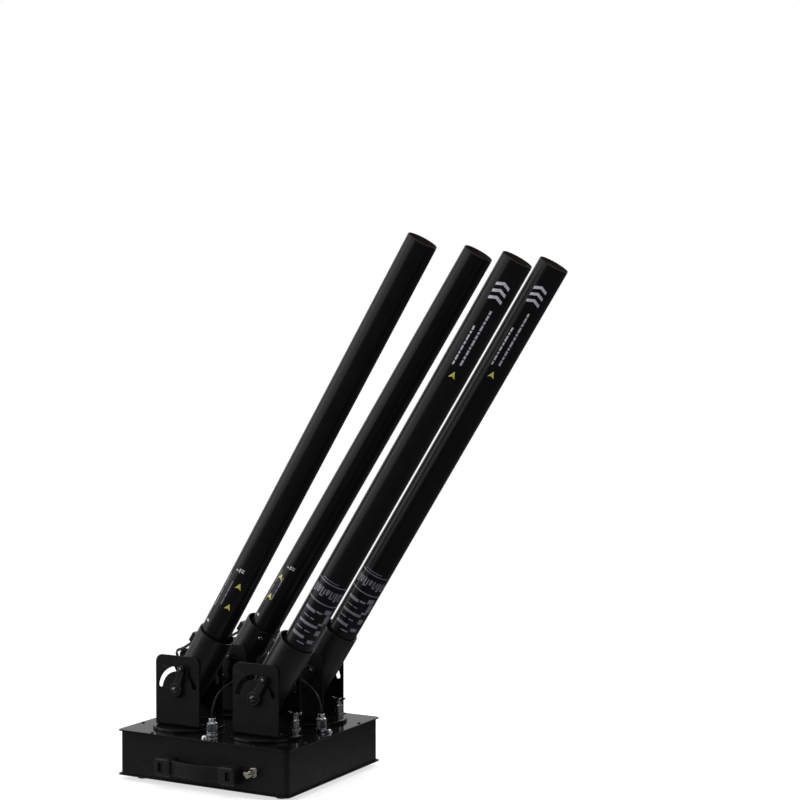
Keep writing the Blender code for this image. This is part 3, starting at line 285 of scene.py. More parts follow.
powder = surface("powder", shades(0.0062, 0.0066, 0.0094, 0.0100), (0.40, 0.52),
                 1500.0, 0.14, specular=0.17, wear_and_edge_highlight=(0.050, 0.050, 0.053), dust=0.020)
lacquer = surface("lacquer", shades(0.0036, 0.0040, 0.0058, 0.0064), (0.08, 0.15),
                  700.0, 0.025, specular=0.22, wear_and_edge_highlight=(0.050, 0.050, 0.053), dust=0.020)
holder_paint = surface("holder_paint", shades(0.0076, 0.0082, 0.0112, 0.0122),
                       (0.24, 0.35), 1100.0, 0.07, specular=0.26, wear_and_edge_highlight=(0.060, 0.060, 0.063), dust=0.012)
wrap = surface("wrap", shades(0.0066, 0.0072, 0.0092, 0.0102), (0.18, 0.27),
               420.0, 0.04, specular=0.165, height=wound_seams, dust=0.008)
board = surface("board", ((0.020, 0.016, 0.012), (0.042, 0.034, 0.026)), (0.80, 0.95),
                1300.0, 0.5, specular=0.2)
rubber = surface("rubber", shades(0.0056, 0.0056, 0.0100, 0.0098), (0.50, 0.68),
                 2400.0, 0.35, specular=0.22, dust=0.030)
sheath = surface("sheath", shades(0.0060, 0.0064, 0.0100, 0.0104), (0.28, 0.42),
                 1600.0, 0.12, specular=0.36)
plastic = surface("plastic", shades(0.0056, 0.0060, 0.0096, 0.0102), (0.32, 0.46),
                  2000.0, 0.20, specular=0.28, wear_and_edge_highlight=(0.030, 0.030, 0.031), dust=0.016)
zinc = surface("zinc", ((0.27, 0.275, 0.28), (0.46, 0.465, 0.47)), (0.16, 0.30),
               800.0, 0.08, metallic=1.0, wear_and_edge_highlight=(0.60, 0.61, 0.62), height=knurl_lines)
dark_zinc = surface("dark_zinc", shades(0.026, 0.029, 0.050, 0.055), (0.16, 0.30),
                    700.0, 0.08, metallic=1.0, wear_and_edge_highlight=(0.16, 0.16, 0.17))
dark_chrome = surface("dark_chrome", shades(0.085, 0.090, 0.130, 0.136), (0.10, 0.20),
                      600.0, 0.04, metallic=1.0, wear_and_edge_highlight=(0.40, 0.40, 0.41))
chrome = surface("chrome", ((0.74, 0.75, 0.76), (0.86, 0.87, 0.88)), (0.20, 0.32),
                 600.0, 0.03, metallic=1.0)
nickel = surface("nickel", ((0.30, 0.28, 0.22), (0.48, 0.45, 0.37)), (0.20, 0.36),
                 900.0, 0.12, metallic=1.0, wear_and_edge_highlight=(0.80, 0.74, 0.58))
white_ink = surface("white_ink", shades(0.50, 0.54, 0.80, 0.84), (0.25, 0.42),
                    900.0, 0.10)
grey_ink = surface("grey_ink", shades(0.15, 0.18, 0.31, 0.36), (0.22, 0.36),
                   900.0, 0.08)
yellow_ink = surface("yellow_ink", ((0.74, 0.70, 0.06), (0.90, 0.87, 0.13)), (0.28, 0.42),
                     900.0, 0.08)
smoked = surface("smoked", ((0.0060, 0.0040, 0.0040), (0.0100, 0.0060, 0.0060)),
                 (0.05, 0.10), 300.0, 0.01, coat=0.5)
segment = surface("segment", ((0.30, 0.020, 0.012), (0.45, 0.035, 0.020)), (0.20, 0.30),
                  600.0, 0.02)
supply_case = surface("supply_case", ((0.46, 0.47, 0.48), (0.62, 0.63, 0.64)), (0.30, 0.48),
                      700.0, 0.14, metallic=1.0, height=knurl_lines)


# Shapes
def rounded(corners, closed=True, steps=4):
    """Points (x, y) along a line of corners (x, y, radius) with the corners rounded."""
    count = len(corners)
    found = []
    for index, (x, y, radius) in enumerate(corners):
        here = Vector((x, y))
        if radius <= 0 or (not closed and index in (0, count - 1)):
            found.append(here)
            continue
        before = (Vector(corners[index - 1][:2]) - here).normalized()
        after = (Vector(corners[(index + 1) % count][:2]) - here).normalized()
        half = before.angle(after) / 2
        centre = here + (before + after).normalized() * (radius / math.sin(half))
        start = here + before * (radius / math.tan(half)) - centre
        end = here + after * (radius / math.tan(half)) - centre
        first = math.atan2(start.y, start.x)
        turn = (math.atan2(end.y, end.x) - first + math.pi) % (2 * math.pi) - math.pi
        for step in range(steps + 1):
            angle = first + turn * step / steps
            found.append(centre + radius * Vector((math.cos(angle), math.sin(angle))))
    return found


def rectangle(width, height, radius, centre=(0.0, 0.0), steps=4):
    """A rectangle with rounded corners."""
    x, y = width / 2, height / 2
    corners = [(x, y, radius), (-x, y, radius), (-x, -y, radius), (x, -y, radius)]
    return [point + Vector(centre) for point in rounded(corners, steps=steps)]


def circle(radius, count=32, centre=(0.0, 0.0)):
    """A closed circle."""
    angles = [2 * math.pi * index / count for index in range(count)]
    return [Vector((centre[0] + radius * math.cos(a), centre[1] + radius * math.sin(a))) for a in angles]


def arc(radius, first, last, count, centre=(0.0, 0.0)):
    """Points on an arc, its angles in degrees."""
    angles = [math.radians(first + (last - first) * index / count) for index in range(count + 1)]
    return [Vector((centre[0] + radius * math.cos(a), centre[1] + radius * math.sin(a))) for a in angles]


def hexagon(across):
    """A hexagon by its width across flats, its corners a little blunt."""
    radius = across / math.sqrt(3)
    corners = [(*point, across * 0.05) for point in circle(radius, 6)]
    return rounded(corners, steps=2)


def turned(profile, sides=48):
    """A body turned about Z from its profile of (radius, z, fillet)."""
    line = rounded(profile, closed=False, steps=3)
    shape = bmesh.new()
    ring = [shape.verts.new((x, 0.0, z)) for x, z in line]
    edges = [shape.edges.new(pair) for pair in zip(ring, ring[1:])]
    bmesh.ops.spin(shape, geom=ring + edges, cent=(0, 0, 0), axis=(0, 0, 1), angle=2 * math.pi,
                   steps=sides, use_merge=True)
    bmesh.ops.remove_doubles(shape, verts=shape.verts, dist=1e-6)
    return shape


def lathe(profile, sides=48):
    """turned() with its profile in millimetres."""
    return turned([[value / 1000 for value in point] for point in profile], sides)


def knurled(shape, radius, low, high, sides, depth):
    """Presses every other column of a turned shape in between two heights."""
    for vertex in shape.verts:
        x, y, z = vertex.co
        column = round(math.atan2(y, x) / (2 * math.pi) * sides)
        if low < z < high and abs(math.hypot(x, y) - radius) < 1e-5 and column % 2:
            vertex.co.x *= 1 - depth / radius
            vertex.co.y *= 1 - depth / radius
    return shape


def temporary(data):
    """An unnamed object for a step of modelling."""
    item = bpy.data.objects.new("temporary", data)
    bpy.context.scene.collection.objects.link(item)
    return item


def taken(item):
    """The final mesh of a temporary object, which is then deleted."""
    graph = bpy.context.evaluated_depsgraph_get()
    mesh = bpy.data.meshes.new_from_object(item.evaluated_get(graph))
    shape = bmesh.new()
    shape.from_mesh(mesh)
    bpy.data.meshes.remove(mesh)
    bpy.data.objects.remove(item)
    return shape


def plate(outline, thickness, edge=0.0004, holes=()):
    """A flat plate from z 0 to its thickness, with its rims bevelled."""
    curve = bpy.data.curves.new("plate", "CURVE")
    curve.dimensions = "2D"
    curve.fill_mode = "BOTH"
    curve.extrude = thickness / 2 - edge
    curve.bevel_depth = edge
    curve.bevel_resolution = 1
    curve.offset = -edge
    for line in (outline, *holes):
        spline = curve.splines.new("POLY")
        spline.points.add(len(line) - 1)
        for point, place in zip(spline.points, line):
            point.co = (place[0], place[1], 0.0, 1.0)
        spline.use_cyclic_u = True
    shape = taken(temporary(curve))
    bmesh.ops.translate(shape, vec=(0.0, 0.0, thickness / 2), verts=shape.verts)
    bmesh.ops.remove_doubles(shape, verts=shape.verts, dist=1e-6)
    return shape


def block(size, edge=0.0006, steps=2, centre=(0.0, 0.0, 0.0)):
    """A box with rounded edges."""
    shape = bmesh.new()
    bmesh.ops.create_cube(shape, size=1.0, matrix=Matrix.Diagonal((*size, 1.0)))
    bmesh.ops.bevel(shape, geom=list(shape.edges), offset=edge, segments=steps, profile=0.5, affect="EDGES")
    bmesh.ops.translate(shape, vec=centre, verts=shape.verts)
    return shape


def sweep(path, section, side=Vector((0.0, 0.0, 1.0))):
    """A section of (across, up) points carried along a path without twisting, its ends capped."""
    shape = bmesh.new()
    rings = []
    for index, place in enumerate(path):
        ahead = (path[min(index + 1, len(path) - 1)] - path[max(index - 1, 0)]).normalized()
        side = (side - ahead * side.dot(ahead)).normalized()
        across = ahead.cross(side)
        rings.append([shape.verts.new(place + across * x + side * y) for x, y in section])
    for ring, following in zip(rings, rings[1:]):
        for index in range(len(section)):
            after = (index + 1) % len(section)
            shape.faces.new((ring[index], ring[after], following[after], following[index]))
    shape.faces.new(rings[0])
    shape.faces.new(reversed(rings[-1]))
    return shape


def add(shape, other, matrix=None, index=0):
    """Puts another shape into shape, with a place and a material number of its own."""
    for face in other.faces:
        face.material_index = index
    if matrix:
        put(other, matrix)
    mesh = bpy.data.meshes.new("part")
    other.to_mesh(mesh)
    other.free()
    shape.from_mesh(mesh)
    bpy.data.meshes.remove(mesh)
    return shape


def carved(shape, *cutters):
    """shape less the cutters."""
    items = []
    for each in (shape, *cutters):
        bmesh.ops.recalc_face_normals(each, faces=each.faces)
        mesh = bpy.data.meshes.new("carved")
        each.to_mesh(mesh)
        each.free()
        items.append(temporary(mesh))
    for cutter in items[1:]:
        modifier = items[0].modifiers.new("cut", "BOOLEAN")
        modifier.object = cutter
        modifier.solver = "EXACT"
    result = taken(items[0])
    for cutter in items[1:]:
        bpy.data.objects.remove(cutter)
    return result


def put(shape, matrix):
    """The shape itself, moved."""
    bmesh.ops.transform(shape, matrix=matrix, verts=shape.verts)
    return shape


def wrapped(loops, radius, lift=0.00007):
    """Flat outlines of (way round in metres, height) laid round a cylinder about Z."""
    shape = bmesh.new()
    for loop in loops:
        shape.faces.new([shape.verts.new((x, y, 0.0)) for x, y in loop])
    bmesh.ops.triangulate(shape, faces=shape.faces)
    low = min(vertex.co.x for vertex in shape.verts)
    high = max(vertex.co.x for vertex in shape.verts)
    pitch = 0.0016
    for index in range(1, int((high - low) / pitch) + 1):
        cut_across(shape, (low + index * pitch, 0, 0), (1, 0, 0))
    bmesh.ops.recalc_face_normals(shape, faces=shape.faces)
    for vertex in shape.verts:
        angle = vertex.co.x / radius
        reach = radius + lift
        vertex.co = (reach * math.cos(angle), reach * math.sin(angle), vertex.co.y)
    return shape


def cut_across(shape, spot, normal):
    """Cuts the faces of a shape along a plane and keeps both sides."""
    geometry = shape.verts[:] + shape.edges[:] + shape.faces[:]
    bmesh.ops.bisect_plane(shape, geom=geometry, plane_co=spot, plane_no=normal)


def piece(name, shape, materials, body, matrix=None, nodes=(), sharp=34.0):
    """Makes a shape a piece of the model, on its body, in place of the CAD nodes it stands for."""
    bmesh.ops.recalc_face_normals(shape, faces=shape.faces)
    mesh = bpy.data.meshes.new(name)
    shape.to_mesh(mesh)
    shape.free()
    for material in materials:
        mesh.materials.append(material)
    mesh.shade_smooth()
    mesh.set_sharp_from_angle(angle=math.radians(sharp))
    item = bpy.data.objects.new(name, mesh)
    bpy.context.scene.collection.objects.link(item)
    if matrix:
        item.matrix_world = matrix
    normals = item.modifiers.new("normals", "WEIGHTED_NORMAL")
    normals.keep_sharp = True
    if body:
        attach(item, body)
    if nodes:
        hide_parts(*nodes)
    return item


def place(x=0.0, y=0.0, z=0.0):
    """A shift as a matrix."""
    return Matrix.Translation((x, y, z))


def screw_head(radius, height, recess=0.0):
    """A domed screw head on z 0, with a round drive recess if one is given."""
    profile = [(0.0, height - recess, 0.0)]
    if recess:
        profile += [(radius * 0.42, height - recess, 0.0), (radius * 0.46, height, 0.0001)]
    profile += [(radius * 0.72, height, radius * 0.35), (radius, height * 0.45, height * 0.3),
                (radius, 0.0, 0.0), (0.0, 0.0, 0.0)]
    return turned(profile, 28)


# Base, handle, earth terminal and back wall
def make_base():
    """Lid, walls, floor, feet and the small screws and domes on the lid."""
    lid = plate(rectangle(BASE_WIDTH, BASE_DEPTH, CORNER_RADIUS, steps=8), LID_THICKNESS, 0.0005)
    piece("lid_plate", lid, [lacquer], "base", place(z=BASE_HEIGHT - LID_THICKNESS), ["top_plate"])
    width = BASE_WIDTH - 2 * LID_OVERHANG
    depth = BASE_DEPTH - 2 * LID_OVERHANG
    outer = rectangle(width, depth, CORNER_RADIUS, steps=10)
    inner = rectangle(width - 2 * WALL_THICKNESS, depth - 2 * WALL_THICKNESS, CORNER_RADIUS - WALL_THICKNESS,
                      steps=10)
    low = FLOOR_THICKNESS + CLEARANCE
    height = BASE_HEIGHT - LID_THICKNESS - CLEARANCE - low
    cutters = [
        block((0.0276, 0.02, 0.0206), 0.0004, 1, (INLET_X, BACK, BACK_CENTRE_Z)),
        block((0.0786, 0.02, 0.0346), 0.0004, 1, (PANEL_X, BACK, BACK_CENTRE_Z)),
    ]
    for x in SIGNALS.values():
        hole = lathe([(0, -10, 0), (12.1, -10, 0), (12.1, 10, 0), (0, 10, 0)], 36)
        cutters.append(put(hole, place(x, BACK, BACK_CENTRE_Z) @ TURN_TO_FRONT))
    walls = put(plate(outer, height, 0.0002, [inner]), place(z=low))
    piece("wall_shell", carved(walls, *cutters), [powder], "base", None, ["base_shell"])
    holes = [circle(FOOT_RADIUS + 2 * CLEARANCE, 32, (x * FOOT_PLACE[0], y * FOOT_PLACE[1]))
             for x in (-1, 1) for y in (-1, 1)]
    bottom = plate(rectangle(BASE_WIDTH, BASE_DEPTH, CORNER_RADIUS, steps=8), FLOOR_THICKNESS, 0.0005, holes)
    piece("floor_plate", bottom, [powder], "base", None, ["bottom_plate"])
    for name, x, y in (("fl", -1, -1), ("fr", 1, -1), ("bl", -1, 1), ("br", 1, 1)):
        foot = turned([
            (0.0, 0.0048, 0), (0.0135, 0.0048, 0.0006), (0.0135, 0.0023, 0.0006), (FOOT_RADIUS, 0.0023, 0),
            (FOOT_RADIUS, 0.0, 0), (FOOT_RADIUS, -0.0020, 0.0004), (FOOT_RADIUS - 0.0005, -0.0024, 0.0003),
            (FOOT_TIP_RADIUS + 0.0009, -FOOT_DROP, 0.0014), (0.0052, -FOOT_DROP, 0.0004),
            (0.0046, -FOOT_DROP + 0.0016, 0.0004), (0.0, -FOOT_DROP + 0.0016, 0)], 40)
        piece("rubber_foot_" + name, foot, [rubber], "base", place(x * FOOT_PLACE[0], y * FOOT_PLACE[1]),
              ["foot_" + name])
    screws = [(x, y) for x in (-0.096, 0.0, 0.096) for y in (-0.1358, 0.1358) if x or y > 0]
    screws += [(x, y) for x in (-0.1546, 0.1546) for y in (-0.082, 0.082)]
    for index, (x, y) in enumerate(screws):
        head = screw_head(0.0027, 0.0015, 0.0008)
        piece(f"lid_screw_{index + 1}", head, [dark_zinc], "base", place(x, y, BASE_HEIGHT))
    domes = {"fr": (0.0, -0.129), "bl": (0.0, 0.129), "fl": (-0.147, 0.0), "br": (0.147, 0.0)}
    for name, (x, y) in domes.items():
        dome = lathe([(0, 5.2, 0), (2.6, 5.2, 2), (4.7, 2.6, 2.4), (4.7, 0.8, 0), (5.8, 0.8, 0.3),
                      (5.8, 0, 0), (0, 0, 0)], 36)
        piece("cap_dome_" + name, dome, [chrome], "base", place(x, y, BASE_HEIGHT))


def strap_depth(x):
    """How far the strap's middle line bows out at x."""
    if abs(x) >= STRAP_REACH:
        return 0.0
    return STRAP_BOW * (1 - (x / STRAP_REACH) ** 2) ** 1.5


def make_handle():
    """The bowed strap and its two caps."""
    end = STRAP_REACH + STRAP_IN_CAP
    steps = 64
    places = [end * (2 * index / steps - 1) for index in range(steps + 1)]
    path = [Vector((x, STRAP_FACE - strap_depth(x), HANDLE_Z)) for x in places]
    half, thick = STRAP_HEIGHT / 2, STRAP_THICKNESS / 2
    groove, dip, edge = half - 0.0034, 0.0005, 0.0013
    front = [(-thick, -half, edge)]
    for middle in (-groove, groove):
        front += [(-thick, middle - 0.0008, 0.0002), (-thick + dip, middle, 0.0003),
                  (-thick, middle + 0.0008, 0.0002)]
    front.append((-thick, half, edge))
    section = rounded([*front, (thick, half, edge), (thick, -half, edge)], steps=3)
    # Across is +Y here, so that the grooved side, at -thick, looks to the front.
    strap = sweep(path, [(-x, y) for x, y in section])
    piece("carry_strap", strap, [rubber], "base", None, ["handle_strap"], 40.0)
    for name, side in (("left", -1), ("right", 1)):
        width, height, depth = CAP_SIZE
        cap = plate(rectangle(width, height, 0.006, steps=6), depth, 0.0026)
        for vertex in cap.verts:
            if vertex.co.z < depth / 2:
                spread = 1 + 0.02 * (1 - 2 * vertex.co.z / depth)
                vertex.co.x *= spread
                vertex.co.y *= spread
        cap = put(cap, place(side * CAP_CENTRE, FRONT - CLEARANCE, HANDLE_Z) @ TURN_TO_FRONT)
        end = STRAP_REACH + STRAP_IN_CAP + CLEARANCE
        length = STRAP_IN_CAP + 2 * CLEARANCE + width / 2
        pocket = block((length, STRAP_THICKNESS + 0.0008, STRAP_HEIGHT + 0.0008), 0.0006, 1,
                       (side * (end - length / 2), STRAP_FACE, HANDLE_Z))
        window = block((0.009, 0.0108, 0.014), 0.0008, 2,
                       (side * CAP_WINDOW, FRONT - CLEARANCE - depth, HANDLE_Z))
        piece("strap_cap_" + name, carved(cap, pocket, window), [plastic], "base", None,
              ["handle_cap_" + name])


def make_earth():
    """The earth stud with its washer and wing nut."""
    x, z = EARTH_PLACE
    body = lathe([(0, 0, 0), (7.5, 0, 0), (7.5, 1.3, 0.3), (6.8, 1.6, 0.2), (6.8, 3, 0.3), (6, 3, 0),
                  (5.7, 6, 0.8), (4.6, 11, 0.7), (3.2, 11.2, 0), (0, 11.2, 0)], 40)
    thread = [(0.0, 0.0110, 0)]
    for turn in range(8):
        thread += [(0.0030, 0.0110 + turn * 0.0008, 0), (0.0026, 0.0114 + turn * 0.0008, 0)]
    thread += [(0.0027, 0.0176, 0.0003), (0.0, 0.0180, 0)]
    add(body, turned(thread, 24))
    half = [(0.0024, -0.0046, 0.0008), (0.0098, -0.0056, 0.0024), (0.0142, 0.0030, 0.0028),
            (0.0110, 0.0068, 0.0022), (0.0038, 0.0020, 0.0014)]
    wing = rounded(half + [(-x, y, radius) for x, y, radius in reversed(half)], steps=5)
    tilt = Matrix.Rotation(math.radians(WING_TURN), 4, "Z")
    add(body, plate(wing, 0.0034, 0.0011), tilt @ place(z=0.0054))
    piece("earth_wing_nut", body, [nickel], "base", place(x, FRONT - CLEARANCE, z) @ TURN_TO_FRONT,
          ["earth_terminal"])


def make_back():
    """Mains inlet, signal sockets, panel and buttons on the back wall."""
    wall = BACK + CLEARANCE
    mouth = rounded([(0.0113, 0.0078, 0.0010), (-0.0113, 0.0078, 0.0010), (-0.0113, -0.0038, 0.0008),
                     (-0.0073, -0.0078, 0.0008), (0.0073, -0.0078, 0.0008), (0.0113, -0.0038, 0.0008)])
    inlet = plate(rectangle(0.048, 0.028, 0.003), 0.002, 0.0005, [mouth])
    add(inlet, plate(rectangle(0.027, 0.020, 0.001), 0.0175, 0.0002, [mouth]), place(z=-0.0165))
    add(inlet, block((0.027, 0.020, 0.0078), 0.0005, 1, (0, 0, -0.0204)))
    for x, y in ((0.0, 0.0022), (-0.0070, -0.0018), (0.0070, -0.0018)):
        add(inlet, block((0.0020, 0.0040, 0.0140), 0.0004, 2, (x, y, -0.0100)), index=1)
    for x in (-0.0200, 0.0200):
        add(inlet, screw_head(0.0026, 0.0016, 0.0008), place(x, 0, 0.002), 1)
    # Seen from behind, +X lies to the left, so the local X axis is turned with the face.
    facing = Matrix.Rotation(math.radians(180), 4, "Z")
    piece("mains_socket", inlet, [plastic, zinc], "base",
          place(INLET_X, wall, BACK_CENTRE_Z) @ facing @ TURN_TO_FRONT, ["power_inlet"])
    for name, x in SIGNALS.items():
        socket = plate(rectangle(0.026, 0.031, 0.003), 0.002, 0.0005, [circle(0.0088, 40)])
        add(socket, plate(circle(0.0118, 40), 0.0230, 0.0002, [circle(0.0088, 40)]), place(z=-0.0220))
        add(socket, lathe([(0, 0, 0), (9, 0, 0), (9, -3, 0), (0, -3, 0)], 32),
            place(z=-0.0200))
        add(socket, lathe([(8.8, 1.8, 0), (8.8, 2.8, 0.3), (10.2, 2.8, 0.4),
                           (10.6, 1.8, 0)], 40), index=1)
        if name == "out":
            holes = [circle(0.0013, 14, (0.0034 * math.cos(a), 0.0034 * math.sin(a)))
                     for a in CONTACT_ANGLES]
            add(socket, plate(circle(0.0072, 36), 0.0190, 0.0006, holes), place(z=-0.0200))
            add(socket, block((0.0050, 0.0030, 0.0040), 0.0005, 2, (0, 0.0112, 0.0020)), index=1)
        else:
            for angle in CONTACT_ANGLES:
                pin = lathe([(0, 0, 0), (1.2, 0, 0), (1.2, 15, 0.8), (0, 15.6, 0)], 16)
                x_pin, y_pin = 0.0038 * math.cos(angle), 0.0038 * math.sin(angle)
                add(socket, pin, place(x_pin, y_pin, -0.0200), 1)
        for dx, dy in ((-0.0098, 0.0122), (0.0098, -0.0122)):
            add(socket, screw_head(0.0021, 0.0013, 0.0007), place(dx, dy, 0.002), 1)
        piece(f"signal_{name}_socket", socket, [plastic, zinc], "base",
              place(x, wall, BACK_CENTRE_Z) @ facing @ TURN_TO_FRONT, ["signal_" + name])
    make_panel(wall, facing)


def digit_bars(lit, x):
    """The bars of one figure of a display, seven places from the top clockwise, then the middle."""
    wide, tall = 0.0042, 0.0040
    spots = [(0, tall, 0), (wide / 2, tall / 2, 1), (wide / 2, -tall / 2, 1), (0, -tall, 0),
             (-wide / 2, -tall / 2, 1), (-wide / 2, tall / 2, 1), (0, 0, 0)]
    bars = []
    for (dx, dy, upright), on in zip(spots, lit):
        if on:
            size = (0.0008, tall - 0.0010, 0.0003) if upright else (wide - 0.0010, 0.0008, 0.0003)
            bars.append(block(size, 0.0001, 1, (x + dx, dy, 0.0)))
    return bars


def make_panel(wall, facing):
    """The control panel with its display and push buttons."""
    drop = BUTTON_Z - BACK_CENTRE_Z
    holes = [circle(0.0039, 28, ((index - 1.5) * BUTTON_PITCH, drop)) for index in range(4)]
    window = rectangle(0.034, 0.016, 0.0012, (0, 0.007))
    face = plate(rectangle(0.088, 0.042, 0.003), 0.003, 0.0006, [window, *holes])
    add(face, block((0.078, 0.034, 0.0090), 0.0006, 1, (0, 0, -0.0052)))
    add(face, block((0.0348, 0.0168, 0.0010), 0.0001, 1, (0, 0.007, 0.0011)), index=1)
    zero, one = (1, 1, 1, 1, 1, 1, 0), (0, 1, 1, 0, 0, 0, 0)
    for index, figure in enumerate((zero, zero, one)):
        for bar in digit_bars(figure, (index - 1) * 0.0085):
            add(face, bar, place(0, 0.007, 0.0017), 2)
    for x in (-0.0405, 0.0405):
        for y in (-0.0175, 0.0175):
            add(face, screw_head(0.0018, 0.0011, 0.0006), place(x, y, 0.003), 3)
    turn = facing @ TURN_TO_FRONT
    piece("panel_face", face, [plastic, smoked, segment, zinc], "base",
          place(PANEL_X, wall, BACK_CENTRE_Z) @ turn, ["control_panel"])
    for index in range(4):
        x = PANEL_X + (index - 1.5) * BUTTON_PITCH
        cap = lathe([(0, 4.3, 0), (2, 4.1, 1.2), (2.9, 4.6, 0.4), (3.6, 4.2, 0.5), (3.6, 1, 0),
                     (4.6, 1, 0), (4.6, 0, 0), (0, 0, 0)], 32)
        piece(f"push_button_{index + 1}", cap, [plastic], f"button_{index + 1}_cap",
              place(x, wall + 0.0002, BUTTON_Z) @ TURN_TO_BACK, [f"button_{index + 1}"])


# Heads
def slot_outline():
    """The curved tilt slot about the pivot."""
    half = SLOT_WIDTH / 2
    first, last = SLOT_ENDS
    outer = arc(SLOT_RADIUS + half, first, last, 40)
    inner = arc(SLOT_RADIUS - half, last, first, 40)
    start = (SLOT_RADIUS * math.cos(math.radians(first)), SLOT_RADIUS * math.sin(math.radians(first)))
    end = (SLOT_RADIUS * math.cos(math.radians(last)), SLOT_RADIUS * math.sin(math.radians(last)))
    far = arc(half, last, last + 180, 10, end)[1:-1]
    near = arc(half, first + 180, first + 360, 10, start)[1:-1]
    return outer + far + inner + near


def folded_bracket():
    """The U bracket, cut flat and folded: both sides with pivot hole and curved slot."""
    floor_z = BASE_HEIGHT + DISC_BOTTOM + DISC_THICKNESS + CLEARANCE
    flat = BRACKET_OUTSIDE - BEND_RADIUS
    bend = BEND_RADIUS * math.pi / 2
    pivot = flat + bend + PIVOT_HEIGHT - floor_z - BEND_RADIUS
    top = pivot + BRACKET_TOP
    half = BRACKET_WIDTH / 2
    outline = rounded([(half, top, BRACKET_CORNER), (-half, top, BRACKET_CORNER),
                       (-half, -top, BRACKET_CORNER), (half, -top, BRACKET_CORNER)], steps=8)
    holes = []
    for side in (1, -1):
        holes.append([(x, side * (pivot + y)) for x, y in slot_outline()])
        holes.append([(x, side * (pivot + y)) for x, y in circle(0.0044, 24)])
    shape = plate(outline, SHEET_THICKNESS, 0.0004, holes)
    for side in (1, -1):
        for step in range(9):
            cut_across(shape, (0, side * (flat + bend * step / 8), 0), (0, 1, 0))
    for vertex in shape.verts:
        x, along, up = vertex.co
        side = 1 if along > 0 else -1
        past = abs(along) - flat
        if past <= 0:
            vertex.co = (x, along, floor_z + up)
            continue
        angle = min(past / bend, 1.0) * math.pi / 2
        radius = BEND_RADIUS - up
        rise = max(past - bend, 0.0)
        vertex.co = (x, side * (flat + radius * math.sin(angle)),
                     floor_z + BEND_RADIUS - radius * math.cos(angle) + rise)
    for x in (-0.034, 0.034):
        for y in (-0.016, 0.016):
            add(shape, screw_head(0.0042, 0.0024, 0.0014), place(x, y, floor_z + SHEET_THICKNESS), 1)
    return shape


def make_swivel(name, head, body, x, y, outward):
    """Disc, bracket, plunger barrel and pull knob of one head."""
    top = DISC_BOTTOM + DISC_THICKNESS
    disc = turned([(0.0, top, 0), (DISC_RADIUS, top, 0.0011), (DISC_RADIUS, DISC_BOTTOM, 0.0005),
                   (SPINDLE_RADIUS, DISC_BOTTOM, 0), (SPINDLE_RADIUS, -0.0023, 0), (0.018, -0.0023, 0.0004),
                   (0.018, -0.0053, 0.0004), (0.0, -0.0053, 0)], 128)
    piece("swivel_disc_" + name, disc, [lacquer], body, place(x, y, BASE_HEIGHT), ["turntable_" + name])
    bracket = folded_bracket()
    clip_x, clip_y = head["clip"]
    length = CLIP_SIZE + (CLIP_OVERHANG if head["outside"] else 0.0)
    middle = clip_x + (length - CLIP_SIZE) / 2
    add(bracket, block((length, CLIP_SIZE, CLIP_SIZE), 0.0012, 3, (middle, clip_y, PIVOT_HEIGHT + CLIP_Z)))
    piece("tilt_bracket_" + name, bracket, [powder, dark_zinc], body, place(x, y, 0.0), ["bracket_" + name])
    knob_x = x + outward * PLUNGER_RADIUS
    collar = top + 0.0080
    inside, outside, flange = 0.0031, BARREL_RADIUS, BARREL_RADIUS + 0.0018
    rim = top + BARREL_HEIGHT
    barrel = turned([(inside, top, 0), (flange, top, 0), (flange, top + 0.0012, 0.0004),
                     (outside, top + 0.0014, 0.0002), (outside, collar, 0), (0.0088, collar, 0.0003),
                     (0.0088, collar + 0.0050, 0.0003), (outside, collar + 0.0050, 0),
                     (outside, rim, 0.0006), (inside, rim, 0)], 48)
    add(barrel, plate(hexagon(0.0168), 0.0050, 0.0006), place(z=collar))
    piece("brake_barrel_" + name, barrel, [zinc], body, place(knob_x, y, BASE_HEIGHT))
    seat = rim + CLEARANCE
    peak = seat + KNOB_HEIGHT
    knob = turned([(0.0, peak - 0.0022, 0), (0.0046, peak - 0.0022, 0.0008), (0.0052, peak - 0.006, 0.0006),
                   (0.0048, seat + 0.0058, 0.0010), (0.0062, seat + 0.0040, 0.0008), (0.0062, seat, 0.0005),
                   (0.0030, seat, 0), (0.0030, 0.0010, 0.0003), (0.0018, CLEARANCE, 0.0002),
                   (0.0, CLEARANCE, 0)], 40)
    left = [(-0.0115, peak, 0.0010), (-0.0115, peak - 0.0036, 0.0022), (-0.0036, peak - 0.0090, 0.0030)]
    right = [(-x_wing, z_wing, radius) for x_wing, z_wing, radius in reversed(left)]
    dip = [(0.0048, peak - 0.0026, 0.0030), (-0.0048, peak - 0.0026, 0.0030)]
    wings = rounded(left + right + dip, steps=5)
    add(knob, plate(wings, 0.0060, 0.0014), place(y=0.0030) @ TURN_TO_FRONT)
    piece("brake_knob_" + name, knob, [zinc], f"{name}_plunger", place(knob_x, y, BASE_HEIGHT),
          ["plunger_" + name])


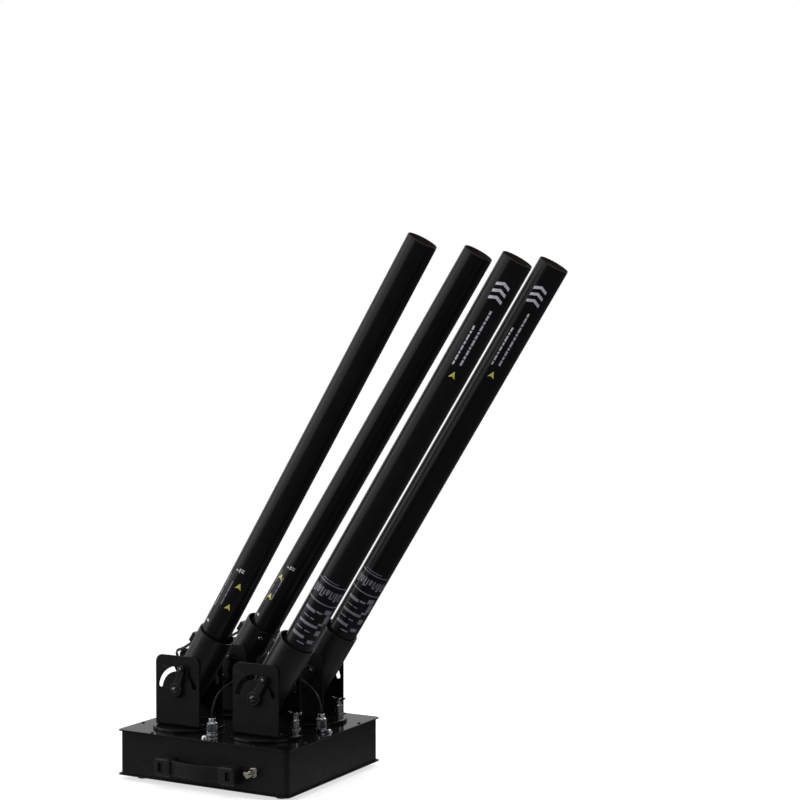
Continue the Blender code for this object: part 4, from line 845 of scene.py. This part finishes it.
def make_bolt_and_lever(name, head, body, x, y):
    """The tilt bolt with its dome and nut, and the clamp lever on it."""
    face = BRACKET_OUTSIDE + CLEARANCE
    tip = face + LEVER_FACE + CLEARANCE
    bolt = turned([(0.0, tip + 0.0032, 0), (0.0038, tip + 0.0030, 0.0040), (0.0060, tip + 0.0008, 0.0010),
                   (0.0060, tip, 0), (0.0040, tip, 0), (0.0040, -face - 0.0088, 0.0005),
                   (0.0, -face - 0.0092, 0)], 48)
    add(bolt, plate(hexagon(0.0130), 0.0058, 0.0007), place(z=-face - 0.0065))
    washer = [(0.0042, -face, 0), (0.0080, -face, 0.0002), (0.0080, -face - 0.0009, 0.0002),
              (0.0042, -face - 0.0009, 0)]
    add(bolt, turned(washer, 40))
    piece("tilt_bolt_" + name, bolt, [dark_chrome], body, place(x, y, PIVOT_HEIGHT) @ TURN_TO_FRONT,
          ["pivot_bolt_" + name])
    dished = LEVER_FACE - 0.0006
    lever = turned([(0.0044, 0.0, 0), (0.0120, 0.0, 0.0004), (0.0120, 0.0040, 0.0008),
                    (0.0108, LEVER_FACE, 0.0012), (0.0072, LEVER_FACE, 0.0003), (0.0068, dished, 0.0003),
                    (0.0044, dished, 0)], 56)
    arm = [*arc(0.0078, 115, 245, 12), *arc(0.0055, -72, 72, 14, (LEVER_REACH, 0.0))]
    add(lever, plate(arm, 0.0030, 0.0009), place(z=0.0033))
    knob = lathe([(0, 5.5, 0), (5.5, 5.5, 0.3), (5.5, 8, 1.2), (4.6, 11.5, 1.2), (0, 11.5, 0)], 40)
    add(lever, knob, place(LEVER_REACH, 0.0, 0.0))
    add(lever, screw_head(0.0021, 0.0011), place(LEVER_REACH, 0.0, 0.0112), 1)
    # Local X points along the arm, local Z out of the bracket.
    angle = math.radians(90.0 - head["lever"])
    turn = place(x, y - face, PIVOT_HEIGHT) @ TURN_TO_FRONT @ Matrix.Rotation(angle, 4, "Z")
    piece("lock_lever_" + name, lever, [plastic, zinc], f"{name}_lever", turn, ["clamp_lever_" + name])


def make_holder(name, body, tilt):
    """The tube holder with its guide bolts, lead terminal and rim screw."""
    inner = HOLDER_RADIUS - HOLDER_WALL
    cup = turned([(0.0, HOLDER_FLOOR, 0), (inner, HOLDER_FLOOR, 0.0012), (inner, HOLDER_RIM, 0.0007),
                  (HOLDER_RADIUS, HOLDER_RIM, 0.0007), (HOLDER_RADIUS, -HOLDER_SKIRT, 0.0007),
                  (inner, -HOLDER_SKIRT, 0.0007), (inner, HOLDER_FLOOR - 0.002, 0.0006),
                  (0.0, HOLDER_FLOOR - 0.002, 0)], 112)
    seam = [Vector((HOLDER_RADIUS, 0.0, z)) for z in (HOLDER_SKIRT * -0.97, 0.0, 0.05, HOLDER_RIM * 0.985)]
    add(cup, sweep(seam, circle(0.0007, 10), Vector((0, 1, 0))))
    face = BRACKET_OUTSIDE + CLEARANCE
    for turn in (TURN_TO_FRONT, TURN_TO_BACK):
        guide = turned([(0.0, face + 0.0010, 0), (0.0026, face + 0.0010, 0), (0.0028, face + 0.0025, 0.0002),
                        (0.0058, face + 0.0025, 0.0010), (0.0058, face, 0.0002), (0.0036, face, 0),
                        (0.0036, 0.029, 0), (0.0, 0.029, 0)], 36)
        add(cup, guide, place(z=SLOT_RADIUS) @ turn, 3)
    centre = -(HOLDER_RADIUS + TERMINAL_SIZE[0] / 2 - 0.0010)
    terminal = block(TERMINAL_SIZE, 0.0012, 3)
    wells = []
    for side in (-1, 1):
        well = lathe([(0, -5, 0), (2.4, -5, 0), (2.4, -3, 0), (0, -3, 0)], 20)
        wells.append(put(well, place(0, side * 0.0034, 0.0015) @ Matrix.Rotation(math.radians(90), 4, "Y")))
    add(cup, carved(terminal, *wells), place(centre, 0.0, TERMINAL_PLACE), 2)
    for side in (-1, 1):
        spot = place(centre - 0.0031, side * 0.0034, TERMINAL_PLACE + 0.0015)
        add(cup, screw_head(0.0019, 0.0012, 0.0005), spot @ Matrix.Rotation(math.radians(-90), 4, "Y"), 1)
    side = -53 if name == "bl" else 127
    around = Matrix.Rotation(math.radians(side), 4, "Z") @ place(HOLDER_RADIUS - 0.0002, 0, 0.091)
    add(cup, screw_head(0.0036, 0.0022, 0.0010), around @ Matrix.Rotation(math.radians(90), 4, "Y"), 1)
    piece("tube_cup_" + name, cup, [holder_paint, zinc, plastic, dark_zinc], body, tilt, ["holder_" + name])


def bar(angle, height, wide, tall):
    """One printed bar, placed by the angle in degrees of its middle."""
    x = math.radians(angle) * TUBE_RADIUS
    return [(x - wide / 2, height - tall / 2), (x + wide / 2, height - tall / 2),
            (x + wide / 2, height + tall / 2), (x - wide / 2, height + tall / 2)]


def moved(outline, angle, height):
    """An outline about (0, 0) put at an angle and height on the tube."""
    x = math.radians(angle) * TUBE_RADIUS
    return [(x + px, height + py) for px, py in outline]


def dashes(angle, low, lengths, wide, gap=0.0022):
    """A broken line of bars along the tube."""
    found = []
    for length in lengths:
        found.append(bar(angle, low + length / 2, wide, length))
        low += length + gap
    return found


ARROW = [(-0.0052, -0.0050), (0.0, -0.0022), (0.0052, -0.0050), (0.0, 0.0062)]
CHEVRON = [(-0.0110, 0.0), (0.0, 0.0052), (0.0110, 0.0), (0.0110, 0.0048), (0.0, 0.0100), (-0.0110, 0.0048)]


def right_prints():
    """White and grey prints of the two right tubes: chevrons, broken lines, rings and blocks."""
    white = [moved(CHEVRON, -65, 0.7260 + 0.0112 * index) for index in range(3)]
    white += dashes(-83, 0.616, (0.006, 0.009, 0.004, 0.008, 0.005, 0.010, 0.004, 0.007), 0.0026, 0.0018)
    white += dashes(-57, 0.620, (0.009, 0.005, 0.008, 0.004, 0.010, 0.006,
                                 0.004, 0.009, 0.005, 0.008, 0.006), 0.0030, 0.0018)
    grey = [bar(-66, 0.2240, 0.060, 0.0016), bar(-66, 0.1900, 0.060, 0.0018)]
    grey += [bar(-108 + 9 * index, 0.2285, 0.0022, 0.0020) for index in range(8)]
    for index, (wide, tall) in enumerate(((6, 15), (5, 12), (7, 15), (4, 9), (7, 13), (5, 16), (7, 14))):
        angle, middle = -122 + 19 * index, 0.2150 - tall / 2000
        grey.append(bar(angle - 0.8 * wide, middle, 0.0022, tall / 1000))
        grey.append(bar(angle + 0.8 * wide, middle + 0.0012, 0.0018, 0.7 * tall / 1000))
        grey.append(bar(angle, middle - 0.0004 * tall, 0.6 * wide / 1000, 0.0022))
    for angle, height, wide, tall in ((-96, 0.1730, 0.020, 0.0050), (-56, 0.1745, 0.010, 0.0030),
                                      (-74, 0.1500, 0.034, 0.0044), (-88, 0.1270, 0.022, 0.0050)):
        grey.append(bar(angle, height, wide, tall))
    for angle, height, wide, tall in ((-24, 0.1790, 0.0120, 0.0080), (-14, 0.1660, 0.0080, 0.0150),
                                      (-26, 0.1560, 0.0100, 0.0040), (-96, 0.1610, 0.0100, 0.0018),
                                      (-70, 0.1610, 0.0070, 0.0018), (-98, 0.1385, 0.0120, 0.0020),
                                      (-62, 0.1385, 0.0090, 0.0020), (-20, 0.1400, 0.0090, 0.0090),
                                      (-30, 0.1230, 0.0110, 0.0060), (-64, 0.1170, 0.0120, 0.0018)):
        grey.append(bar(angle, height, wide, tall))
    return white, grey


def left_prints(low):
    """Prints of the two left tubes, from a height up: short bars and pale lines."""
    white = [bar(-104, low + 0.064, 0.0040, 0.0022), bar(-92, low + 0.066, 0.0024, 0.0070),
             bar(-80, low + 0.0655, 0.0050, 0.0022), bar(-80, low + 0.0690, 0.0050, 0.0018)]
    grey = dashes(-127, low - 0.010, (0.020, 0.012, 0.026), 0.0026)
    grey += dashes(-98, low, (0.012, 0.008, 0.020), 0.0020)
    white.append(bar(-121, low - 0.037, 0.0062, 0.0040))
    return white, grey


def make_tube(name, head, body, tilt):
    """The launch tube with its wrap, its board rim and bore, and its prints."""
    top = TUBE_BOTTOM + head["tube"]
    inner = TUBE_RADIUS - TUBE_WALL
    shift = tilt @ place(head["shift"], 0.0, 0.0)
    skin = turned([(0.0, TUBE_BOTTOM, 0), (TUBE_RADIUS, TUBE_BOTTOM, 0.0006),
                   (TUBE_RADIUS, top - 0.0016, 0.0001), (TUBE_RADIUS - 0.0003, top - 0.0014, 0),
                   (TUBE_RADIUS - 0.0008, top - 0.0010, 0)], 128)
    bore = turned([(TUBE_RADIUS - 0.0003, top - 0.0020, 0), (TUBE_RADIUS - 0.0003, top, 0.0005),
                   (inner, top, 0.0005), (inner, TUBE_BOTTOM + 0.018, 0.0008),
                   (0.0, TUBE_BOTTOM + 0.018, 0)], 128)
    add(skin, bore, index=1)
    piece("launch_tube_" + name, skin, [wrap, board], body, shift, ["tube_" + name])
    if name in ("fr", "br"):
        white, grey = right_prints()
        yellow = [moved(ARROW, -63, 0.602)]
    else:
        low = 0.160 if name == "fl" else 0.157
        white, grey = left_prints(low)
        angle = -67 if name == "fl" else -113
        yellow = [moved(ARROW, angle, low + 0.003), moved(ARROW, angle, low + 0.042)]
    prints = (("white", white, white_ink), ("grey", grey, grey_ink), ("yellow", yellow, yellow_ink))
    for kind, loops, ink in prints:
        piece(f"{kind}_print_{name}", wrapped(loops, TUBE_RADIUS), [ink], body, shift)


def smooth_route(points, spacing=0.0022):
    """Evenly spaced points on a smooth curve through all points but the two end ones, which
    end the straight stretches."""
    points = [Vector(point) for point in points]
    fine = []
    for index in range(1, len(points) - 2):
        a, b, c, d = points[index - 1: index + 3]
        for step in range(16):
            t = step / 16
            fine.append(0.5 * (2 * b + (c - a) * t + (2 * a - 5 * b + 4 * c - d) * t ** 2
                               + (3 * b - 3 * c + d - a) * t ** 3))
    fine.append(points[-2])
    lengths = [0.0]
    for a, b in zip(fine, fine[1:]):
        lengths.append(lengths[-1] + (b - a).length)
    count = max(2, round(lengths[-1] / spacing))
    found = [points[0]]
    index = 0
    for step in range(count + 1):
        want = lengths[-1] * step / count
        while index < len(fine) - 2 and lengths[index + 1] < want:
            index += 1
        share = (want - lengths[index]) / (lengths[index + 1] - lengths[index])
        found.append(fine[index].lerp(fine[index + 1], share))
    return [*found, points[-1]]


def twin_section():
    """The section of a twin lead: two round cores side by side."""
    apart, radius = 0.00115, 0.00135
    notch = math.degrees(math.acos(apart / radius))
    right = arc(radius, -180 + notch, 180 - notch, 14, (apart, 0.0))
    left = arc(radius, notch, 360 - notch, 14, (-apart, 0.0))
    return [(x, y) for x, y in right + left]


def make_leads(name, head, x, y, lean):
    """The lead from its socket to the clip, and from the clip to the holder's terminal."""
    origin = Vector((x, y, PIVOT_HEIGHT))
    clip = Vector((*head["clip"], CLIP_Z))
    gap = CLIP_SIZE / 2 + CLEARANCE
    straight = Vector((0, 0, LEAD_STRAIGHT))
    start = Vector((*SOCKETS[name], BASE_HEIGHT + SOCKET_HEIGHT + CLEARANCE))
    middle = [origin + Vector(point) for point in LOWER_ROUTES[name]]
    way = Vector((1, 0, 0)) if name == "bl" else Vector((-1, 0, 0))
    end = origin + clip + way * (gap + (CLIP_OVERHANG if name == "bl" else 0.0))
    lower = smooth_route([start, start + straight, *middle, end + way * LEAD_STRAIGHT, end])
    item = piece("lower_lead_" + name, sweep(lower, twin_section(), Vector((1, 0, 0))), [sheath], None,
                 None, ["lead_lower_" + name], 50.0)
    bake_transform(item)
    route = UPPER_ROUTE_OUTSIDE if head["outside"] else UPPER_ROUTE_INSIDE
    start = clip + Vector((0, 0, gap))
    along = TERMINAL_PLACE - TERMINAL_SIZE[2] / 2 - CLEARANCE
    out = HOLDER_RADIUS + TERMINAL_SIZE[0] / 2
    turn = Matrix.Rotation(lean, 3, "Y")
    points = [start, start + straight, *route]
    points += [turn @ Vector((-out, 0, along - LEAD_STRAIGHT)), turn @ Vector((-out, 0, along))]
    points = [origin + Vector(point) for point in points]
    upper = sweep(smooth_route(points), twin_section(), Vector((1, 0, 0)))
    item = piece("upper_lead_" + name, upper, [sheath], None, None, ["lead_upper_" + name], 50.0)
    # An outside lead has to pass beside its holder when the head tilts back over the clip.
    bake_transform(item)


def make_socket(name):
    """The screwed lead socket on the lid with its plug: nut, knurled sleeve, ring and grommet."""
    top = SOCKET_HEIGHT
    sleeve = lathe([(0, 3, 0), (7.8, 3, 0), (8.5, 4.2, 0.3), (8.5, 6, 0), (8.5, 6.4, 0), (8.5, 18, 0),
                    (8.5, 18.4, 0), (8.5, 20.2, 1), (6.2, 22.2, 0.6), (5, 22.2, 0), (0, 22.2, 0)], 72)
    knurled(sleeve, 0.0085, 0.0062, 0.0182, 72, 0.0007)
    body = plate(hexagon(0.0176), 0.0035, 0.0006)
    add(body, sleeve)
    nut = [(0.0058, -0.0053, 0), (0.0090, -0.0053, 0.0004), (0.0090, -0.0023, 0.0004), (0.0058, -0.0023, 0)]
    ring = [(0.0040, top, 0), (0.0055, top, 0.0009), (0.0055, 0.0222, 0.0005), (0.0040, 0.0222, 0)]
    grommet = [(0.0030, top + 0.0002, 0), (0.0041, top + 0.0002, 0.0005), (0.0041, 0.0230, 0),
               (0.0030, 0.0230, 0)]
    add(body, turned(nut, 32))
    add(body, turned(ring, 48), index=1)
    add(body, turned(grommet, 32), index=2)
    x, y = SOCKETS[name]
    piece("lead_plug_" + name, body, [zinc, chrome, rubber], "base", place(x, y, BASE_HEIGHT + CLEARANCE),
          ["lead_socket_" + name])


def make_head(name, head):
    """All pieces of one head, placed by its joints in the frame."""
    x, y, _ = joints[name + "_tilt"]["pos_m"]
    axis = joints[name + "_tube_pull"]["axis"]
    lean = math.atan2(axis[0], axis[2])
    outward = 1 if x > 0 else -1
    tilt = place(x, y, PIVOT_HEIGHT) @ Matrix.Rotation(lean, 4, "Y")
    swivel = name + "_swivel"
    make_swivel(name, head, swivel, x, y, outward)
    make_bolt_and_lever(name, head, swivel, x, y)
    make_holder(name, name + "_holder", tilt)
    make_tube(name, head, name + "_tube", tilt)
    make_socket(name)
    make_leads(name, head, x, y, lean)


# Floor, light and camera
def make_floor():
    """The pale floor with the object's soft shadow. It fades into the white backdrop, and in the
    object's gloss it is bright near the base only."""
    material = bpy.data.materials.new("pale_floor")
    material.use_nodes = True
    tree = material.node_tree
    shader = tree.nodes["Principled BSDF"]
    shader.inputs["Roughness"].default_value = 0.7
    shader.inputs["Specular IOR Level"].default_value = 0.1
    path = link(tree, "LightPath").outputs
    spot = link(tree, "TexCoord").outputs["Object"]
    far = link(tree, "VectorMath", {0: spot}, operation="LENGTH").outputs["Value"]
    seen = blend_colours(tree, noise(tree, 3.0, 5.0), (0.60, 0.60, 0.60), (0.62, 0.62, 0.62))
    colour = blend_colours(tree, path["Is Camera Ray"], (0.12, 0.12, 0.12), seen)
    tree.links.new(colour, shader.inputs["Base Color"])
    near = math_node(tree, "MULTIPLY", path["Is Glossy Ray"], span(tree, far, 0.38, 0.0, 0.18, 0.42))
    glow = math_node(tree, "MULTIPLY_ADD", path["Is Camera Ray"], 0.66, near)
    shader.inputs["Emission Color"].default_value = (1.0, 1.0, 1.0, 1.0)
    tree.links.new(glow, shader.inputs["Emission Strength"])
    white = link(tree, "Emission", {"Color": (1.0, 1.0, 1.0, 1.0), "Strength": 1.0})
    fade = math_node(tree, "MULTIPLY", path["Is Camera Ray"], span(tree, far, 0.0, 1.0, 0.55, 1.30))
    mixed = link(tree, "MixShader", {"Fac": fade})
    tree.links.new(shader.outputs[0], mixed.inputs[1])
    tree.links.new(white.outputs[0], mixed.inputs[2])
    tree.links.new(mixed.outputs[0], tree.nodes["Material Output"].inputs["Surface"])
    mesh = bpy.data.meshes.new("studio_floor")
    shape = bmesh.new()
    bmesh.ops.create_grid(shape, x_segments=8, y_segments=8, size=14.0)
    bmesh.ops.translate(shape, vec=(0, 0, -FOOT_DROP), verts=shape.verts)
    shape.to_mesh(mesh)
    shape.free()
    mesh.materials.append(material)
    item = bpy.data.objects.new("studio_floor", mesh)
    bpy.context.scene.collection.objects.link(item)


def make_world():
    """White for the camera; for gloss a pale backdrop to the left and behind, else a dim room."""
    world = bpy.data.worlds.new("studio")
    world.use_nodes = True
    bpy.context.scene.world = world
    tree = world.node_tree
    tree.nodes.clear()
    path = link(tree, "LightPath").outputs
    direction = link(tree, "TexCoord").outputs["Generated"]
    inputs = {0: direction, 1: (-0.80, 0.58, 0.15)}
    toward = link(tree, "VectorMath", inputs, operation="DOT_PRODUCT")
    backdrop = span(tree, toward.outputs["Value"], 0.03, 0.62, 0.20, 0.92)
    sharp = math_node(tree, "MAXIMUM", path["Is Glossy Ray"], path["Is Transmission Ray"])
    soft = math_node(tree, "MULTIPLY_ADD", sharp, math_node(tree, "SUBTRACT", backdrop, 0.42), 0.42)
    strength = math_node(tree, "MAXIMUM", path["Is Camera Ray"], soft)
    shader = link(tree, "Background", {"Color": (1.0, 1.0, 1.0, 1.0), "Strength": strength})
    output = link(tree, "OutputWorld")
    tree.links.new(shader.outputs[0], output.inputs["Surface"])


def make_lamp(name, place_at, look_at, size, power, colour=(1.0, 1.0, 1.0)):
    """A soft rectangular lamp."""
    data = bpy.data.lights.new(name, "AREA")
    data.shape = "RECTANGLE"
    data.size, data.size_y = size
    data.energy = power
    data.color = colour
    item = bpy.data.objects.new(name, data)
    item.location = place_at
    item.rotation_euler = (Vector(look_at) - Vector(place_at)).to_track_quat("-Z", "Y").to_euler()
    bpy.context.scene.collection.objects.link(item)


def make_stage():
    """Floor, world, lamps and camera."""
    make_floor()
    make_world()
    make_lamp("key", (-1.40, -1.25, 1.05), (0.05, 0.0, 0.40), (2.5, 1.8), 22.0)
    make_lamp("overhead", (0.2, -0.3, 2.3), (0.15, 0.0, 0.3), (2.0, 2.0), 16.0)
    make_lamp("back", (0.30, 1.70, 1.55), (0.05, 0.0, 0.25), (1.4, 1.2), 14.0)
    make_lamp("fill", (1.9, -0.4, 0.9), (0.1, 0.0, 0.3), (1.2, 1.2), 5.0, (0.86, 0.90, 1.0))
    data = bpy.data.cameras.new("camera")
    data.lens = CAMERA_LENS
    data.sensor_width = 36.0
    data.clip_end = 60.0
    camera = bpy.data.objects.new("camera", data)
    camera.location = CAMERA_PLACE
    camera.rotation_euler = (CAMERA_TARGET - CAMERA_PLACE).to_track_quat("-Z", "Y").to_euler()
    bpy.context.scene.collection.objects.link(camera)
    bpy.context.scene.camera = camera
    bpy.context.scene.view_settings.view_transform = "Standard"


make_base()
make_handle()
make_earth()
make_back()
for head_name, head_values in HEADS.items():
    make_head(head_name, head_values)
supply = frame["nodes"]["power_supply"]
supply.data.materials.clear()
supply.data.materials.append(supply_case)
make_stage()
